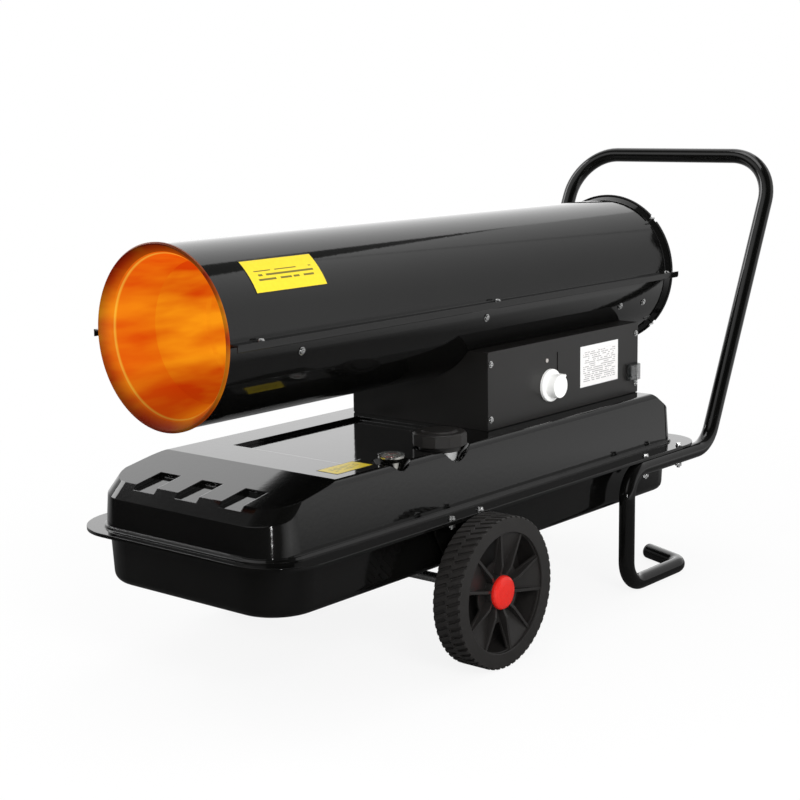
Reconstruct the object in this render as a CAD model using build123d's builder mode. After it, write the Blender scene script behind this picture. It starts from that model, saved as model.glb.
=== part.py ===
from build123d import *
from math import cos, sin, tan, radians
import os

os.makedirs("parts", exist_ok=True)

# Forced air heater on two wheels. Millimetres, +Z up, floor at z = 0, y = 0 is the middle plane.
# The barrel's mouth points along -X, the carrying handle is at +X, the control panel faces -Y.

# ---------------------------------------------------------------- driving dimensions
mouth_x = -692.5            # barrel mouth; every *_x value below is counted back from here
axis_z = 540.0              # height of the barrel's axis
barrel_r = 132.0            # outside radius of the barrel
barrel_len = 1144.0
barrel_sheet = 1.5
lip_out = 149.0             # half width over the seam lips
lip_rear = barrel_len + 8   # the lips end a little behind the barrel
lip_skirt = 9.0             # folded edge of the upper lip

flange_z = 238.0            # top of the tank's flange
flange_half = 232.0
flange_front, flange_rear = -10.0, 1120.0
flange_front_r, flange_rear_r = 92.0, 70.0
tank_sheet = 2.0
rim_h = 5.4                 # height of the flange's folded rim
tank_top_z = 332.0
top_front, top_rear = 14.0, 1079.0     # upper pressing at the flange
top_half = 191.0
top_front_r, top_rear_r, wall_taper = 56.0, 34.0, 4.0
pan_front, pan_rear = 15.0, 1064.0     # lower pressing at the flange
pan_half = 197.0
pan_bottom_z = 152.0
slope_start, slope_end = 40.0, 160.0   # the top rises between these two stations
slope_start_z = 308.0
front_edge_z = 286.0        # above this height the front wall leans back to slope_start
rear_edge_z = tank_top_z - 35          # the top drops to this height towards the rear wall

frame_tube_r = 14.0
frame_wall = 1.6
frame_y = 224.0             # middle plane of each side of the carrying frame
leg_x = 861.0
foot_x = 1047.0
rail_end_x = 1135.0
handle_x, handle_z = 1381.0, 747.0

wheel_x, wheel_r = 424.0, 119.0
groove_depth = 3.2          # grooves between the tread's ribs
wheel_out, wheel_in = 284.0, 234.0     # outer and inner face of the tread
hub_in, hub_out = 207.9, 274.5
axle_r = 8.0
run_gap = 0.05              # radial play of a turning piece
bracket_y, bracket_sheet = 202.0, 3.0
bracket_bolt_x = (366.0, 437.0)
frame_bolt_x = (920.0, 1034.0)

box_front, box_rear = 563.5, 1017.0    # control box under the barrel
box_half, box_top_z = 144.2, 461.0
box_sheet = 1.5

cap_x, cap_y, cap_r = 432.0, -150.0, 43.0
neck_r, neck_top_z = 30.0, 338.0
gauge_x, gauge_y, gauge_r = 300.0, -163.0, 20.0
gauge_seat_z = 318.0
cap_seat_z = 308.0

chamber_front, chamber_rear = 72.0, 640.0
pipe_x, pipe_r = chamber_rear + 93, 2.4   # fuel line, straight up from the tank into the barrel
lead_x, lead_y = pipe_x + 22, 22.0        # ignition leads

screw_r, screw_hole_r = 2.0, 2.1
bolt_r, bolt_hole_r = 3.0, 3.1


def at(x):
    """Station x mm behind the mouth, in the part's own frame."""
    return mouth_x + x


def ring_point(r, side, below):
    """Point r mm from the barrel's axis, `below` degrees under the horizontal on one side."""
    return side * r * cos(radians(below)), axis_z - r * sin(radians(below))


def radial_plane(x, r, side, below):
    """Plane at radius r whose normal points away from the barrel's axis."""
    y, z = ring_point(r, side, below)
    return Plane(origin=(at(x), y, z), x_dir=(1, 0, 0),
                 z_dir=(0, side * cos(radians(below)), -sin(radians(below))))


# ---------------------------------------------------------------- shared shapes
def plan_outline(z, front, rear, half, front_r, rear_r, inset=0.0):
    """Rounded outline of the tank at height z."""
    with BuildSketch(Plane.XY.offset(z)) as plan:
        with Locations(((at(front) + at(rear)) / 2, 0)):
            Rectangle(rear - front, 2 * half)
        fillet(plan.vertices().group_by(Axis.X)[0], front_r)
        fillet(plan.vertices().group_by(Axis.X)[-1], rear_r)
        if inset > 0:
            offset(amount=-inset)
    return plan.sketch


pocket_pitch, pocket_width, pocket_depth, pocket_end = 90.0, 44.0, 7.0, 88.0
recess_front, recess_rear, recess_half, recess_depth = 243.0, 540.0, 116.0, 6.0
cap_well = (34.0, 48.0)      # bottom and top radius of the hollow round the filler
gauge_well = (21.0, 30.0)    # the same round the gauge
slope = (tank_top_z - slope_start_z) / (slope_end - slope_start)


def front_lean(inset):
    """Body whose front leans back above front_edge_z; everywhere else it is a little too large."""
    base_z, high_z, side_room = flange_z - tank_sheet, tank_top_z + 10, 3.0

    def outline(z, front):
        shrink = inset + (z - base_z) * tan(radians(wall_taper))
        return plan_outline(z, front, top_rear + 30, top_half + side_room - shrink,
                            top_front_r - shrink, top_rear_r)

    low_front = top_front + inset + (front_edge_z - base_z) * tan(radians(wall_taper))
    lean = (slope_start + inset - low_front) / (slope_start_z - front_edge_z)
    with BuildPart() as body:
        loft([outline(front_edge_z, low_front),
              outline(high_z, low_front + lean * (high_z - front_edge_z))], ruled=True)
        extrude(plan_outline(front_edge_z, top_front - 10, top_rear + 40, top_half + 10, 30, 30),
                amount=base_z - front_edge_z - 30)
    return body.part


def tank_top_form(inset):
    """Upper pressing as a solid: its outside with inset 0, its hollow with inset = sheet."""
    base_z = flange_z - tank_sheet
    with BuildPart() as walls:
        extrude(plan_outline(base_z, top_front, top_rear, top_half, top_front_r, top_rear_r, inset),
                amount=110, taper=wall_taper)
    leaning_walls = walls.part & front_lean(inset)
    with BuildPart() as form:
        add(leaning_walls)
        with BuildSketch(Plane.XZ) as side:
            with BuildLine():
                Polyline(
                    (at(top_front - 40), base_z - 20),
                    (at(top_front - 40), slope_start_z + slope * (top_front - 40 - slope_start)),
                    (at(slope_end), tank_top_z), (at(top_rear - 67), tank_top_z),
                    (at(top_rear - 15), rear_edge_z), (at(top_rear + 7), base_z - 20), close=True)
            make_face()
            fillet(side.vertices().filter_by_position(Axis.Y, rear_edge_z - 1, rear_edge_z + 1), 14)
            if inset > 0:
                offset(amount=-inset)
        extrude(amount=300, both=True, mode=Mode.INTERSECT)
        high = form.edges().filter_by_position(Axis.Z, tank_top_z - 12, tank_top_z + 12)
        fillet(high.filter_by(GeomType.LINE).filter_by(Axis.X), 9 - inset)
        # three pockets that run out through the front of the slope
        for row in (-1, 0, 1):
            with BuildSketch(Plane.XZ.offset(-row * pocket_pitch)):
                with BuildLine():
                    Polyline(
                        (at(-20), slope_start_z - pocket_depth - inset - slope * 50),
                        (at(pocket_end + inset), slope_start_z - pocket_depth - inset
                         + slope * (pocket_end + inset - slope_start)),
                        (at(pocket_end + inset), tank_top_z + 20),
                        (at(-20), tank_top_z + 20), close=True)
                make_face()
            extrude(amount=pocket_width / 2 + inset, both=True, mode=Mode.SUBTRACT)
        # shallow recess in front of the control box
        with BuildSketch(Plane.XY.offset(tank_top_z - recess_depth - inset)):
            with Locations((at((recess_front + recess_rear) / 2), 0)):
                Rectangle(recess_rear - recess_front + 2 * inset, 2 * (recess_half + inset))
        extrude(amount=40, mode=Mode.SUBTRACT)
        # tapered hollows round the filler and the gauge
        for x, y, seat, (low_r, high_r) in ((cap_x, cap_y, cap_seat_z, cap_well),
                                            (gauge_x, gauge_y, gauge_seat_z, gauge_well)):
            lean = (high_r - low_r) / (tank_top_z - seat)
            with BuildSketch(Plane.XZ.offset(-y)):
                with BuildLine():
                    Polyline((at(x), seat - inset), (at(x) + low_r + inset, seat - inset),
                             (at(x) + high_r + inset + lean * 20, tank_top_z + 20),
                             (at(x), tank_top_z + 20), close=True)
                make_face()
            revolve(axis=Axis((at(x), y, 0), (0, 0, 1)), mode=Mode.SUBTRACT)
    return form


def flange_hole_places():
    """Eight bolt places in the flange: four for the axle brackets, four for the frame."""
    return [(at(x), side * frame_y) for x in bracket_bolt_x + frame_bolt_x for side in (-1, 1)]


def pan_head(plane, head_r, head_h, shank_r, shank_len):
    """Pan-head screw with a washer face; the head sits on the plane, the shank is behind it."""
    with BuildPart() as screw:
        with BuildSketch(plane):
            Circle(head_r)
        extrude(amount=head_h)
        fillet(screw.edges().filter_by(GeomType.CIRCLE).sort_by(
            lambda edge: (edge.center() - plane.origin).dot(plane.z_dir))[-1], head_h * 0.45)
        with BuildSketch(plane):
            Circle(head_r * 1.3)
        extrude(amount=0.9)
        with BuildSketch(plane):
            Circle(shank_r)
        extrude(amount=-shank_len)
        with BuildSketch(plane.offset(head_h - 1.2)):
            Rectangle(head_r * 1.2, 1.0)
            Rectangle(1.0, head_r * 1.2)
        extrude(amount=2, mode=Mode.SUBTRACT)
    return screw.part


# ---------------------------------------------------------------- fuel tank
with BuildPart() as tank_top:
    add(tank_top_form(0.0).part)
    with BuildSketch(Plane.XY.offset(flange_z - tank_sheet)):
        add(plan_outline(flange_z - tank_sheet, flange_front, flange_rear, flange_half,
                         flange_front_r, flange_rear_r))
    extrude(amount=tank_sheet)
    # low step where the wall meets the flange
    extrude(plan_outline(flange_z, top_front - 4, top_rear + 4, top_half + 4,
                         top_front_r + 4, top_rear_r + 4), amount=4, taper=20)
    # folded rim of the flange
    rim_z = flange_z - rim_h
    rim = plan_outline(rim_z, flange_front, flange_rear, flange_half, flange_front_r, flange_rear_r)
    rim_inside = plan_outline(rim_z, flange_front, flange_rear, flange_half,
                              flange_front_r, flange_rear_r, 1.6)
    extrude(rim, amount=rim_h - tank_sheet)
    extrude(rim_inside, amount=rim_h - tank_sheet, mode=Mode.SUBTRACT)
    # the rim is lower where it crosses the rising tubes of the carrying frame
    with BuildSketch(Plane.XY.offset(flange_z - 2 * tank_sheet)):
        with Locations([(at(flange_rear - 40), side * frame_y) for side in (-1, 1)]):
            Rectangle(90, 2 * frame_tube_r + 6)
    extrude(amount=-4, mode=Mode.SUBTRACT)
    add(tank_top_form(tank_sheet).part, mode=Mode.SUBTRACT)
    with BuildSketch(Plane.XY.offset(flange_z)):
        with Locations(flange_hole_places()):
            Circle(bolt_hole_r)
    extrude(amount=-tank_sheet, mode=Mode.SUBTRACT)
    # holes for the fuel line, the filler neck and the gauge stem
    with BuildSketch(Plane.XY.offset(tank_top_z + 5)):
        with Locations((at(pipe_x), 0)):
            Circle(pipe_r + 0.2)
    extrude(amount=-20, mode=Mode.SUBTRACT)
    with BuildSketch(Plane.XY.offset(cap_seat_z - 10)):
        with Locations((at(cap_x), cap_y)):
            Circle(neck_r - 2)
    extrude(amount=20, mode=Mode.SUBTRACT)
    with BuildSketch(Plane.XY.offset(gauge_seat_z - 10)):
        with Locations((at(gauge_x), gauge_y)):
            Circle(9)
    extrude(amount=20, mode=Mode.SUBTRACT)
tank_top.part.label = "tank_upper_pressing"
export_step(tank_top.part, "parts/tank_upper_pressing.step")


def pan_form(inset):
    """Lower pressing as a solid: outside with inset 0, hollow with inset = sheet."""
    top_z = flange_z - tank_sheet
    with BuildPart() as form:
        extrude(plan_outline(top_z, pan_front, pan_rear, pan_half, 76, 50, inset),
                amount=-(top_z - pan_bottom_z - inset), taper=3)
        fillet(form.edges().group_by(Axis.Z)[0], 16 - inset)
    return form


with BuildPart() as pan:
    add(pan_form(0.0).part)
    extrude(plan_outline(flange_z - 2 * tank_sheet, flange_front, flange_rear, flange_half,
                         flange_front_r, flange_rear_r, 1.9), amount=tank_sheet)
    add(pan_form(tank_sheet).part, mode=Mode.SUBTRACT)
    with BuildSketch(Plane.XY.offset(flange_z)):
        with Locations(flange_hole_places()):
            Circle(bolt_hole_r)
    extrude(amount=-8, mode=Mode.SUBTRACT)
    with BuildSketch(Plane.XY.offset(pan_bottom_z)):
        with Locations((at(120), 0)):
            Circle(8)
    extrude(amount=10, mode=Mode.SUBTRACT)
pan.part.label = "tank_lower_pressing"
export_step(pan.part, "parts/tank_lower_pressing.step")

with BuildPart() as drain_plug:
    with BuildSketch(Plane.XY.offset(pan_bottom_z)):
        with Locations((at(120), 0)):
            RegularPolygon(11, 6)
    extrude(amount=-6)
    with BuildSketch(Plane.XY.offset(pan_bottom_z)):
        with Locations((at(120), 0)):
            Circle(7.95)
    extrude(amount=9)
drain_plug.part.label = "drain_plug"
export_step(drain_plug.part, "parts/drain_plug.step")

# ---------------------------------------------------------------- filler, cap and gauge
neck_axis = Axis((at(cap_x), cap_y, 0), (0, 0, 1))
gauge_axis = Axis((at(gauge_x), gauge_y, 0), (0, 0, 1))

with BuildPart() as filler_neck:
    with BuildSketch(Plane.XZ.offset(-cap_y)):
        with BuildLine():
            Polyline((at(cap_x) + neck_r - 4, cap_seat_z), (at(cap_x) + neck_r + 3, cap_seat_z),
                     (at(cap_x) + neck_r + 3, cap_seat_z + 1.5), (at(cap_x) + neck_r, cap_seat_z + 1.5),
                     (at(cap_x) + neck_r, neck_top_z), (at(cap_x) + neck_r - 2, neck_top_z),
                     (at(cap_x) + neck_r - 2, cap_seat_z + 1.5),
                     (at(cap_x) + neck_r - 4, cap_seat_z + 1.5), close=True)
        make_face()
    revolve(axis=neck_axis)
filler_neck.part.label = "filler_neck"
export_step(filler_neck.part, "parts/filler_neck.step")

with BuildPart() as filler_strainer:
    with BuildSketch(Plane.XY.offset(cap_seat_z - 45)):
        with Locations((at(cap_x), cap_y)):
            Circle(neck_r - 4.2)
    extrude(amount=45 + 1.5)
    with BuildSketch(Plane.XY.offset(cap_seat_z + 1.5)):
        with Locations((at(cap_x), cap_y)):
            Circle(neck_r - 2.1)
    extrude(amount=1.5)
    with BuildSketch(Plane.XY.offset(cap_seat_z - 44)):
        with Locations((at(cap_x), cap_y)):
            Circle(neck_r - 5.4)
    extrude(amount=60, mode=Mode.SUBTRACT)
filler_strainer.part.label = "filler_strainer"
export_step(filler_strainer.part, "parts/filler_strainer.step")

gasket_h = 2.5
with BuildPart() as cap_gasket:
    with BuildSketch(Plane.XY.offset(neck_top_z)):
        with Locations((at(cap_x), cap_y)):
            Circle(neck_r)
            Circle(neck_r - 6, mode=Mode.SUBTRACT)
    extrude(amount=gasket_h)
cap_gasket.part.label = "cap_gasket"
export_step(cap_gasket.part, "parts/cap_gasket.step")

cap_inside_z = neck_top_z + gasket_h
cap_low_z, cap_high_z = 335.0, 355.0
with BuildPart() as fuel_cap:
    with BuildSketch(Plane.XZ.offset(-cap_y)):
        with BuildLine():
            Polyline((at(cap_x), cap_inside_z), (at(cap_x) + neck_r + run_gap, cap_inside_z),
                     (at(cap_x) + neck_r + run_gap, 326), (at(cap_x) + neck_r + 3, 326),
                     (at(cap_x) + neck_r + 3, cap_inside_z + 3), (at(cap_x) + cap_r - 4, cap_inside_z + 3),
                     (at(cap_x) + cap_r - 3, cap_low_z), (at(cap_x) + cap_r, cap_low_z),
                     (at(cap_x) + cap_r, cap_high_z - 3), (at(cap_x) + cap_r - 4, cap_high_z),
                     (at(cap_x), cap_high_z), close=True)
        make_face()
    revolve(axis=neck_axis)
    # twelve grip faces round the rim and a low dome on top
    with BuildSketch(Plane.XY.offset(320)) as grip:
        with Locations((at(cap_x), cap_y)):
            RegularPolygon(cap_r, 12)
        fillet(grip.vertices(), 3)
    extrude(amount=60, mode=Mode.INTERSECT)
    with BuildSketch(Plane.XY.offset(cap_high_z)):
        with Locations((at(cap_x), cap_y)):
            Circle(cap_r - 14)
    extrude(amount=2.6, taper=55)
fuel_cap.part.label = "fuel_cap"
export_step(fuel_cap.part, "parts/fuel_cap.step")

gauge_pivot_z = 262.0
with BuildPart() as gauge_body:
    with BuildSketch(Plane.XZ.offset(-gauge_y)):
        with BuildLine():
            Polyline((at(gauge_x), 270), (at(gauge_x) + 6, 270), (at(gauge_x) + 6, 300),
                     (at(gauge_x) + 8.5, 300), (at(gauge_x) + 8.5, gauge_seat_z),
                     (at(gauge_x) + 13, gauge_seat_z), (at(gauge_x) + 13, 331),
                     (at(gauge_x) + gauge_r, 338), (at(gauge_x) + gauge_r, 341),
                     (at(gauge_x) + gauge_r - 3, 341), (at(gauge_x) + gauge_r - 3, 337),
                     (at(gauge_x), 337), close=True)
        make_face()
    revolve(axis=gauge_axis)
    # fork that carries the float arm
    with BuildSketch(Plane.XY.offset(270)):
        with Locations((at(gauge_x), gauge_y)):
            Rectangle(12, 12)
    extrude(amount=-16)
    with BuildSketch(Plane.XY.offset(268)):
        with Locations((at(gauge_x), gauge_y)):
            Rectangle(14, 6)
    extrude(amount=-20, mode=Mode.SUBTRACT)
    with BuildSketch(Plane.XZ.offset(-gauge_y + 10)):
        with Locations((at(gauge_x), gauge_pivot_z)):
            Circle(1.5 + run_gap)
    extrude(amount=-20, mode=Mode.SUBTRACT)
    # seat of the pointer's pin
    with BuildSketch(Plane.XY.offset(337)):
        with Locations((at(gauge_x), gauge_y)):
            Circle(1 + run_gap)
    extrude(amount=-4, mode=Mode.SUBTRACT)
gauge_body.part.label = "gauge_body"
export_step(gauge_body.part, "parts/gauge_body.step")

with BuildPart() as gauge_lens:
    with BuildSketch(Plane.XY.offset(341)):
        with Locations((at(gauge_x), gauge_y)):
            Circle(gauge_r)
    extrude(amount=3)
    fillet(gauge_lens.edges().group_by(Axis.Z)[-1], 1.8)
gauge_lens.part.label = "gauge_lens"
export_step(gauge_lens.part, "parts/gauge_lens.step")

with BuildPart() as gauge_pointer:
    with BuildSketch(Plane.XY.offset(337.4)):
        with Locations((at(gauge_x), gauge_y)):
            Circle(2.2)
            with Locations((0, 6)):
                Trapezoid(2.4, 12, 86)
    extrude(amount=0.8)
    with BuildSketch(Plane.XY.offset(337.4)):
        with Locations((at(gauge_x), gauge_y)):
            Circle(1)
    extrude(amount=-3)
gauge_pointer.part.label = "gauge_pointer"
export_step(gauge_pointer.part, "parts/gauge_pointer.step")

float_reach = 100.0
arm_len = float_reach + 4
float_drop = 40.0            # the arm hangs this far below the horizontal in an empty tank


def float_place(reach):
    """Point of the float arm's middle line, in the upright plane through the gauge."""
    return (at(gauge_x) - reach * cos(radians(float_drop)),
            gauge_pivot_z - reach * sin(radians(float_drop)))


with BuildPart() as float_arm:
    with BuildSketch(Plane.XZ.offset(-gauge_y + 2.5)):
        with Locations(float_place(0)):
            Circle(4)
        with Locations(float_place(arm_len / 2)):
            Rectangle(arm_len, 3, rotation=float_drop)
    extrude(amount=-5)
    with BuildSketch(Plane.XZ.offset(-gauge_y + 6)):
        with Locations(float_place(0)):
            Circle(1.5)
    extrude(amount=-12)
float_arm.part.label = "float_arm"
export_step(float_arm.part, "parts/float_arm.step")

with BuildPart() as gauge_float:
    with BuildSketch(Plane.XZ.offset(-gauge_y + 14)):
        with Locations(float_place(float_reach + 13.5)):
            Circle(14)
    extrude(amount=-28)
    # slot that holds the end of the arm
    with BuildSketch(Plane.XZ.offset(-gauge_y + 2.5)):
        with Locations(float_place(arm_len / 2)):
            Rectangle(arm_len, 3, rotation=float_drop)
    extrude(amount=-5, mode=Mode.SUBTRACT)
gauge_float.part.label = "gauge_float"
export_step(gauge_float.part, "parts/gauge_float.step")

# ---------------------------------------------------------------- barrel
edge_front = 2.0             # the barrel starts just behind the rolled edge of the outlet cone
lip_front = edge_front + 0.5  # front end of the seam lips
cone_lip_r = 134.7
chamber_r, chamber_sheet = 110.0, 1.5
# station and degrees below the horizontal: two rows for the chamber, two for the motor bracket
screw_rows = ((chamber_front + 75, 11.0), (chamber_rear - 58, 11.0),
              (barrel_len - 151, 22.0), (barrel_len - 73, 22.0))
seam_screw_x = (55.0, barrel_len / 2 + 25, barrel_len - 22)
seam_screw_y = 140.0


def cut_radial_holes(radius, from_r, to_r, rows):
    """Screw holes through the barrel's wall on both sides."""
    for x, below in rows:
        for side in (-1, 1):
            with BuildSketch(radial_plane(x, from_r, side, below)) as hole:
                Circle(radius)
            extrude(hole.sketch, amount=to_r - from_r, mode=Mode.SUBTRACT)


wall_r = barrel_r - barrel_sheet
flare_len, flare_r = 12.0, barrel_r + 6.5    # the tube widens over its last stretch


def barrel_half(sign):
    """Half tube with a flared rear end and two side lips; sign +1 is the upper half, -1 the lower."""
    flare_front = barrel_len - flare_len
    with BuildPart() as half:
        with BuildSketch(Plane.XZ):
            with BuildLine():
                Polyline(
                    (at(edge_front), axis_z + wall_r), (at(edge_front), axis_z + barrel_r),
                    (at(flare_front), axis_z + barrel_r), (at(barrel_len), axis_z + flare_r),
                    (at(barrel_len), axis_z + flare_r - 1.15 * barrel_sheet),
                    (at(flare_front), axis_z + wall_r), close=True)
            make_face()
        revolve(axis=Axis((0, 0, axis_z), (1, 0, 0)))
        # the other half of the tube taken away
        with BuildSketch(Plane.YZ.offset(at(edge_front) - 5)):
            with Locations((0, axis_z - sign * 2 * barrel_r)):
                Rectangle(4 * barrel_r, 4 * barrel_r)
        extrude(amount=barrel_len - edge_front + 10, mode=Mode.SUBTRACT)
        with BuildSketch(Plane.YZ.offset(at(lip_front))):
            for side in (-1, 1):
                out = lip_out if sign > 0 else lip_out - barrel_sheet - 0.2
                with Locations((side * (wall_r + out) / 2, axis_z + sign * barrel_sheet / 2)):
                    Rectangle(out - wall_r, barrel_sheet)
                if sign > 0:
                    with Locations((side * (out - barrel_sheet / 2),
                                    axis_z + barrel_sheet - (lip_skirt + barrel_sheet) / 2)):
                        Rectangle(barrel_sheet, lip_skirt + barrel_sheet)
        extrude(amount=lip_rear - lip_front)
        with BuildSketch(Plane.XY.offset(axis_z)):
            for x in seam_screw_x:
                for side in (-1, 1):
                    with Locations((at(x), side * seam_screw_y)):
                        Circle(screw_hole_r)
        extrude(amount=4, both=True, mode=Mode.SUBTRACT)
    return half


with BuildPart() as barrel_upper:
    add(barrel_half(1).part)
    # rounded rear end of the folded lip
    lip_ends = barrel_upper.edges().filter_by(Axis.Y).filter_by_position(
        Axis.X, at(lip_rear) - 0.1, at(lip_rear) + 0.1).filter_by_position(
        Axis.Z, axis_z - lip_skirt - 0.1, axis_z - lip_skirt + 0.1)
    fillet(lip_ends, 5)
barrel_upper.part.label = "barrel_upper_shell"
export_step(barrel_upper.part, "parts/barrel_upper_shell.step")

with BuildPart() as barrel_lower:
    add(barrel_half(-1).part)
    cut_radial_holes(screw_hole_r, barrel_r - 6, barrel_r + 4, screw_rows)
    # cable and fuel line opening down into the control box
    with BuildSketch(Plane.XY.offset(axis_z - barrel_r - 10)):
        with Locations((at((pipe_x + lead_x) / 2), 0)):
            RectangleRounded(44, 64, 8)
    extrude(amount=40, mode=Mode.SUBTRACT)
barrel_lower.part.label = "barrel_lower_shell"
export_step(barrel_lower.part, "parts/barrel_lower_shell.step")

with BuildPart() as outlet_cone:
    with BuildSketch(Plane.XZ):
        with BuildLine():
            Polyline(
                (at(edge_front), axis_z + barrel_r - 2), (at(edge_front), axis_z + cone_lip_r),
                (at(-1), axis_z + cone_lip_r), (at(-3), axis_z + cone_lip_r - 2),
                (at(-2), axis_z + cone_lip_r - 4), (at(12), axis_z + 120.5), (at(18), axis_z + 117),
                (at(82), axis_z + 105), (at(82), axis_z + 106.2), (at(18.6), axis_z + 118.4),
                (at(13), axis_z + 122), close=True)
        make_face()
    revolve(axis=Axis((0, 0, axis_z), (1, 0, 0)))
outlet_cone.part.label = "outlet_cone"
export_step(outlet_cone.part, "parts/outlet_cone.step")

with BuildPart() as chamber:
    r_out, r_in = axis_z + chamber_r, axis_z + chamber_r - chamber_sheet
    beads = (190.0, 330.0, 470.0)
    with BuildSketch(Plane.XZ):
        with BuildLine():
            Polyline((at(chamber_front), r_in), (at(chamber_front), r_out),
                     (at(chamber_rear), r_out), (at(chamber_rear), axis_z + 34.2),
                     (at(chamber_rear - 1.5), axis_z + 34.2), (at(chamber_rear - 1.5), r_in),
                     close=True)
        make_face()
        for x in beads:
            with Locations((at(x), r_in - 2)):
                Rectangle(8, 4)
    revolve(axis=Axis((0, 0, axis_z), (1, 0, 0)))
    # air louvres round the rear disc
    with BuildSketch(Plane.YZ.offset(at(chamber_rear - 5))):
        with Locations((0, axis_z)):
            with PolarLocations(72, 10):
                SlotOverall(34, 9)
    extrude(amount=12, mode=Mode.SUBTRACT)
    # air holes in two rings through the wall
    for x, turn in ((510.0, 0), (560.0, 15)):
        for step in range(12):
            angle = step * 30 + turn
            with BuildSketch(radial_plane(x, chamber_r - 8, 1, angle)):
                Circle(6)
            extrude(amount=12, mode=Mode.SUBTRACT)
chamber.part.label = "combustion_chamber"
export_step(chamber.part, "parts/combustion_chamber.step")


def ring_sector(plane, centre, r_in, r_out, angle, spread):
    """Part of a flat ring, `spread` degrees to each side of the angle."""
    with BuildSketch(plane) as piece:
        with BuildLine():
            outer = CenterArc(centre, r_out, angle - spread, 2 * spread)
            inner = CenterArc(centre, r_in, angle - spread, 2 * spread)
            Line(outer @ 0, inner @ 0)
            Line(outer @ 1, inner @ 1)
        make_face()
    return piece.sketch


def sector(x, r_in, r_out, angle, spread):
    """Part of a ring round the barrel's axis; angle counts from +Y towards +Z."""
    return ring_sector(Plane.YZ.offset(at(x)), (0, axis_z), r_in, r_out, angle, spread)


def side_angle(side, below):
    """Angle of a place `below` degrees under the horizontal on one side of the barrel."""
    return -below if side > 0 else 180 + below


with BuildPart() as chamber_brackets:
    for x, below in screw_rows[:2]:
        for angle in (side_angle(-1, 11), side_angle(1, 11), 60, 120):
            extrude(sector(x - 20, chamber_r, chamber_r + 2, angle, 5), amount=14)
            extrude(sector(x - 8, chamber_r, wall_r, angle, 5), amount=2)
            extrude(sector(x - 8, wall_r - 2, wall_r, angle, 5), amount=16)
    cut_radial_holes(screw_hole_r, wall_r - 6, wall_r + 4, screw_rows[:2])
chamber_brackets.part.label = "chamber_brackets"
export_step(chamber_brackets.part, "parts/chamber_brackets.step")

with BuildPart() as flame_baffle:
    with BuildSketch(Plane.XZ):
        with BuildLine():
            Polyline((at(250), axis_z), (at(250), axis_z + 46), (at(262), axis_z + 58),
                     (at(263.5), axis_z + 57), (at(252), axis_z + 45), (at(252), axis_z), close=True)
        make_face()
    revolve(axis=Axis((0, 0, axis_z), (1, 0, 0)))
    for angle in (90, 210, 330):
        extrude(sector(256, 50, chamber_r - chamber_sheet, angle, 6), amount=2)
flame_baffle.part.label = "flame_baffle"
export_step(flame_baffle.part, "parts/flame_baffle.step")

burner_r = 34.0
nozzle_rear, socket_z = chamber_rear + 56, 5.0
with BuildPart() as burner_head:
    with BuildSketch(Plane.YZ.offset(at(chamber_rear - 20))):
        with Locations((0, axis_z)):
            Circle(burner_r)
            Circle(burner_r - 2, mode=Mode.SUBTRACT)
    extrude(amount=50)
    with BuildSketch(Plane.YZ.offset(at(chamber_rear))):
        with Locations((0, axis_z)):
            Circle(burner_r + 10)
            Circle(burner_r - 2, mode=Mode.SUBTRACT)
    extrude(amount=2)
    with BuildSketch(Plane.YZ.offset(at(chamber_rear + 28))):
        with Locations((0, axis_z)):
            Circle(burner_r)
    extrude(amount=2)
    # nozzle body with its two pipe sockets
    with BuildSketch(Plane.YZ.offset(at(chamber_rear))):
        with Locations((0, axis_z)):
            Circle(9)
    extrude(amount=44)
    with BuildSketch(Plane.YZ.offset(at(nozzle_rear - 12))):
        with Locations((0, axis_z)):
            RegularPolygon(12, 6)
    extrude(amount=12)
    with BuildSketch(Plane.YZ.offset(at(chamber_rear))):
        with Locations((0, axis_z)):
            with PolarLocations(lead_y, 8):
                Circle(4)
    extrude(amount=60, mode=Mode.SUBTRACT)
    with BuildSketch(Plane.YZ.offset(at(nozzle_rear))):
        with Locations((0, axis_z - socket_z), (0, axis_z + socket_z)):
            Circle(pipe_r + 0.2)
    extrude(amount=-8, mode=Mode.SUBTRACT)
burner_head.part.label = "burner_head"
export_step(burner_head.part, "parts/burner_head.step")

with BuildPart() as electrodes:
    for side in (-1, 1):
        with BuildSketch(Plane.YZ.offset(at(chamber_rear - 10))):
            with Locations((side * lead_y, axis_z)):
                Circle(3.9)
        extrude(amount=66)
        with BuildSketch(Plane.YZ.offset(at(chamber_rear - 36))):
            with Locations((side * lead_y, axis_z)):
                Circle(1.2)
        extrude(amount=26)
electrodes.part.label = "electrodes"
export_step(electrodes.part, "parts/electrodes.step")

# ---------------------------------------------------------------- blower
fan_rear, fan_r = barrel_len - 44, 118.0
fan_front = fan_rear - 38
motor_rear, motor_r = fan_front - 22, 58.0
motor_front = motor_rear - 108
shaft_r = 6.0
bracket_x = motor_front + 53
pump_front, pump_r, pump_stub_z = motor_front - 56, 40.0, 24.0

with BuildPart() as motor:
    with BuildSketch(Plane.YZ.offset(at(motor_front))):
        with Locations((0, axis_z)):
            Circle(motor_r)
            Circle(shaft_r + run_gap, mode=Mode.SUBTRACT)
    extrude(amount=motor_rear - motor_front)
    fillet(motor.edges().filter_by(GeomType.CIRCLE).filter_by(
        lambda edge: edge.radius > 50), 8)
    # cooling slots in the rear end bell
    with BuildSketch(Plane.YZ.offset(at(motor_rear))):
        with Locations((0, axis_z)):
            with PolarLocations(34, 8):
                SlotOverall(22, 6)
    extrude(amount=-4, mode=Mode.SUBTRACT)
motor.part.label = "fan_motor"
export_step(motor.part, "parts/fan_motor.step")

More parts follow.
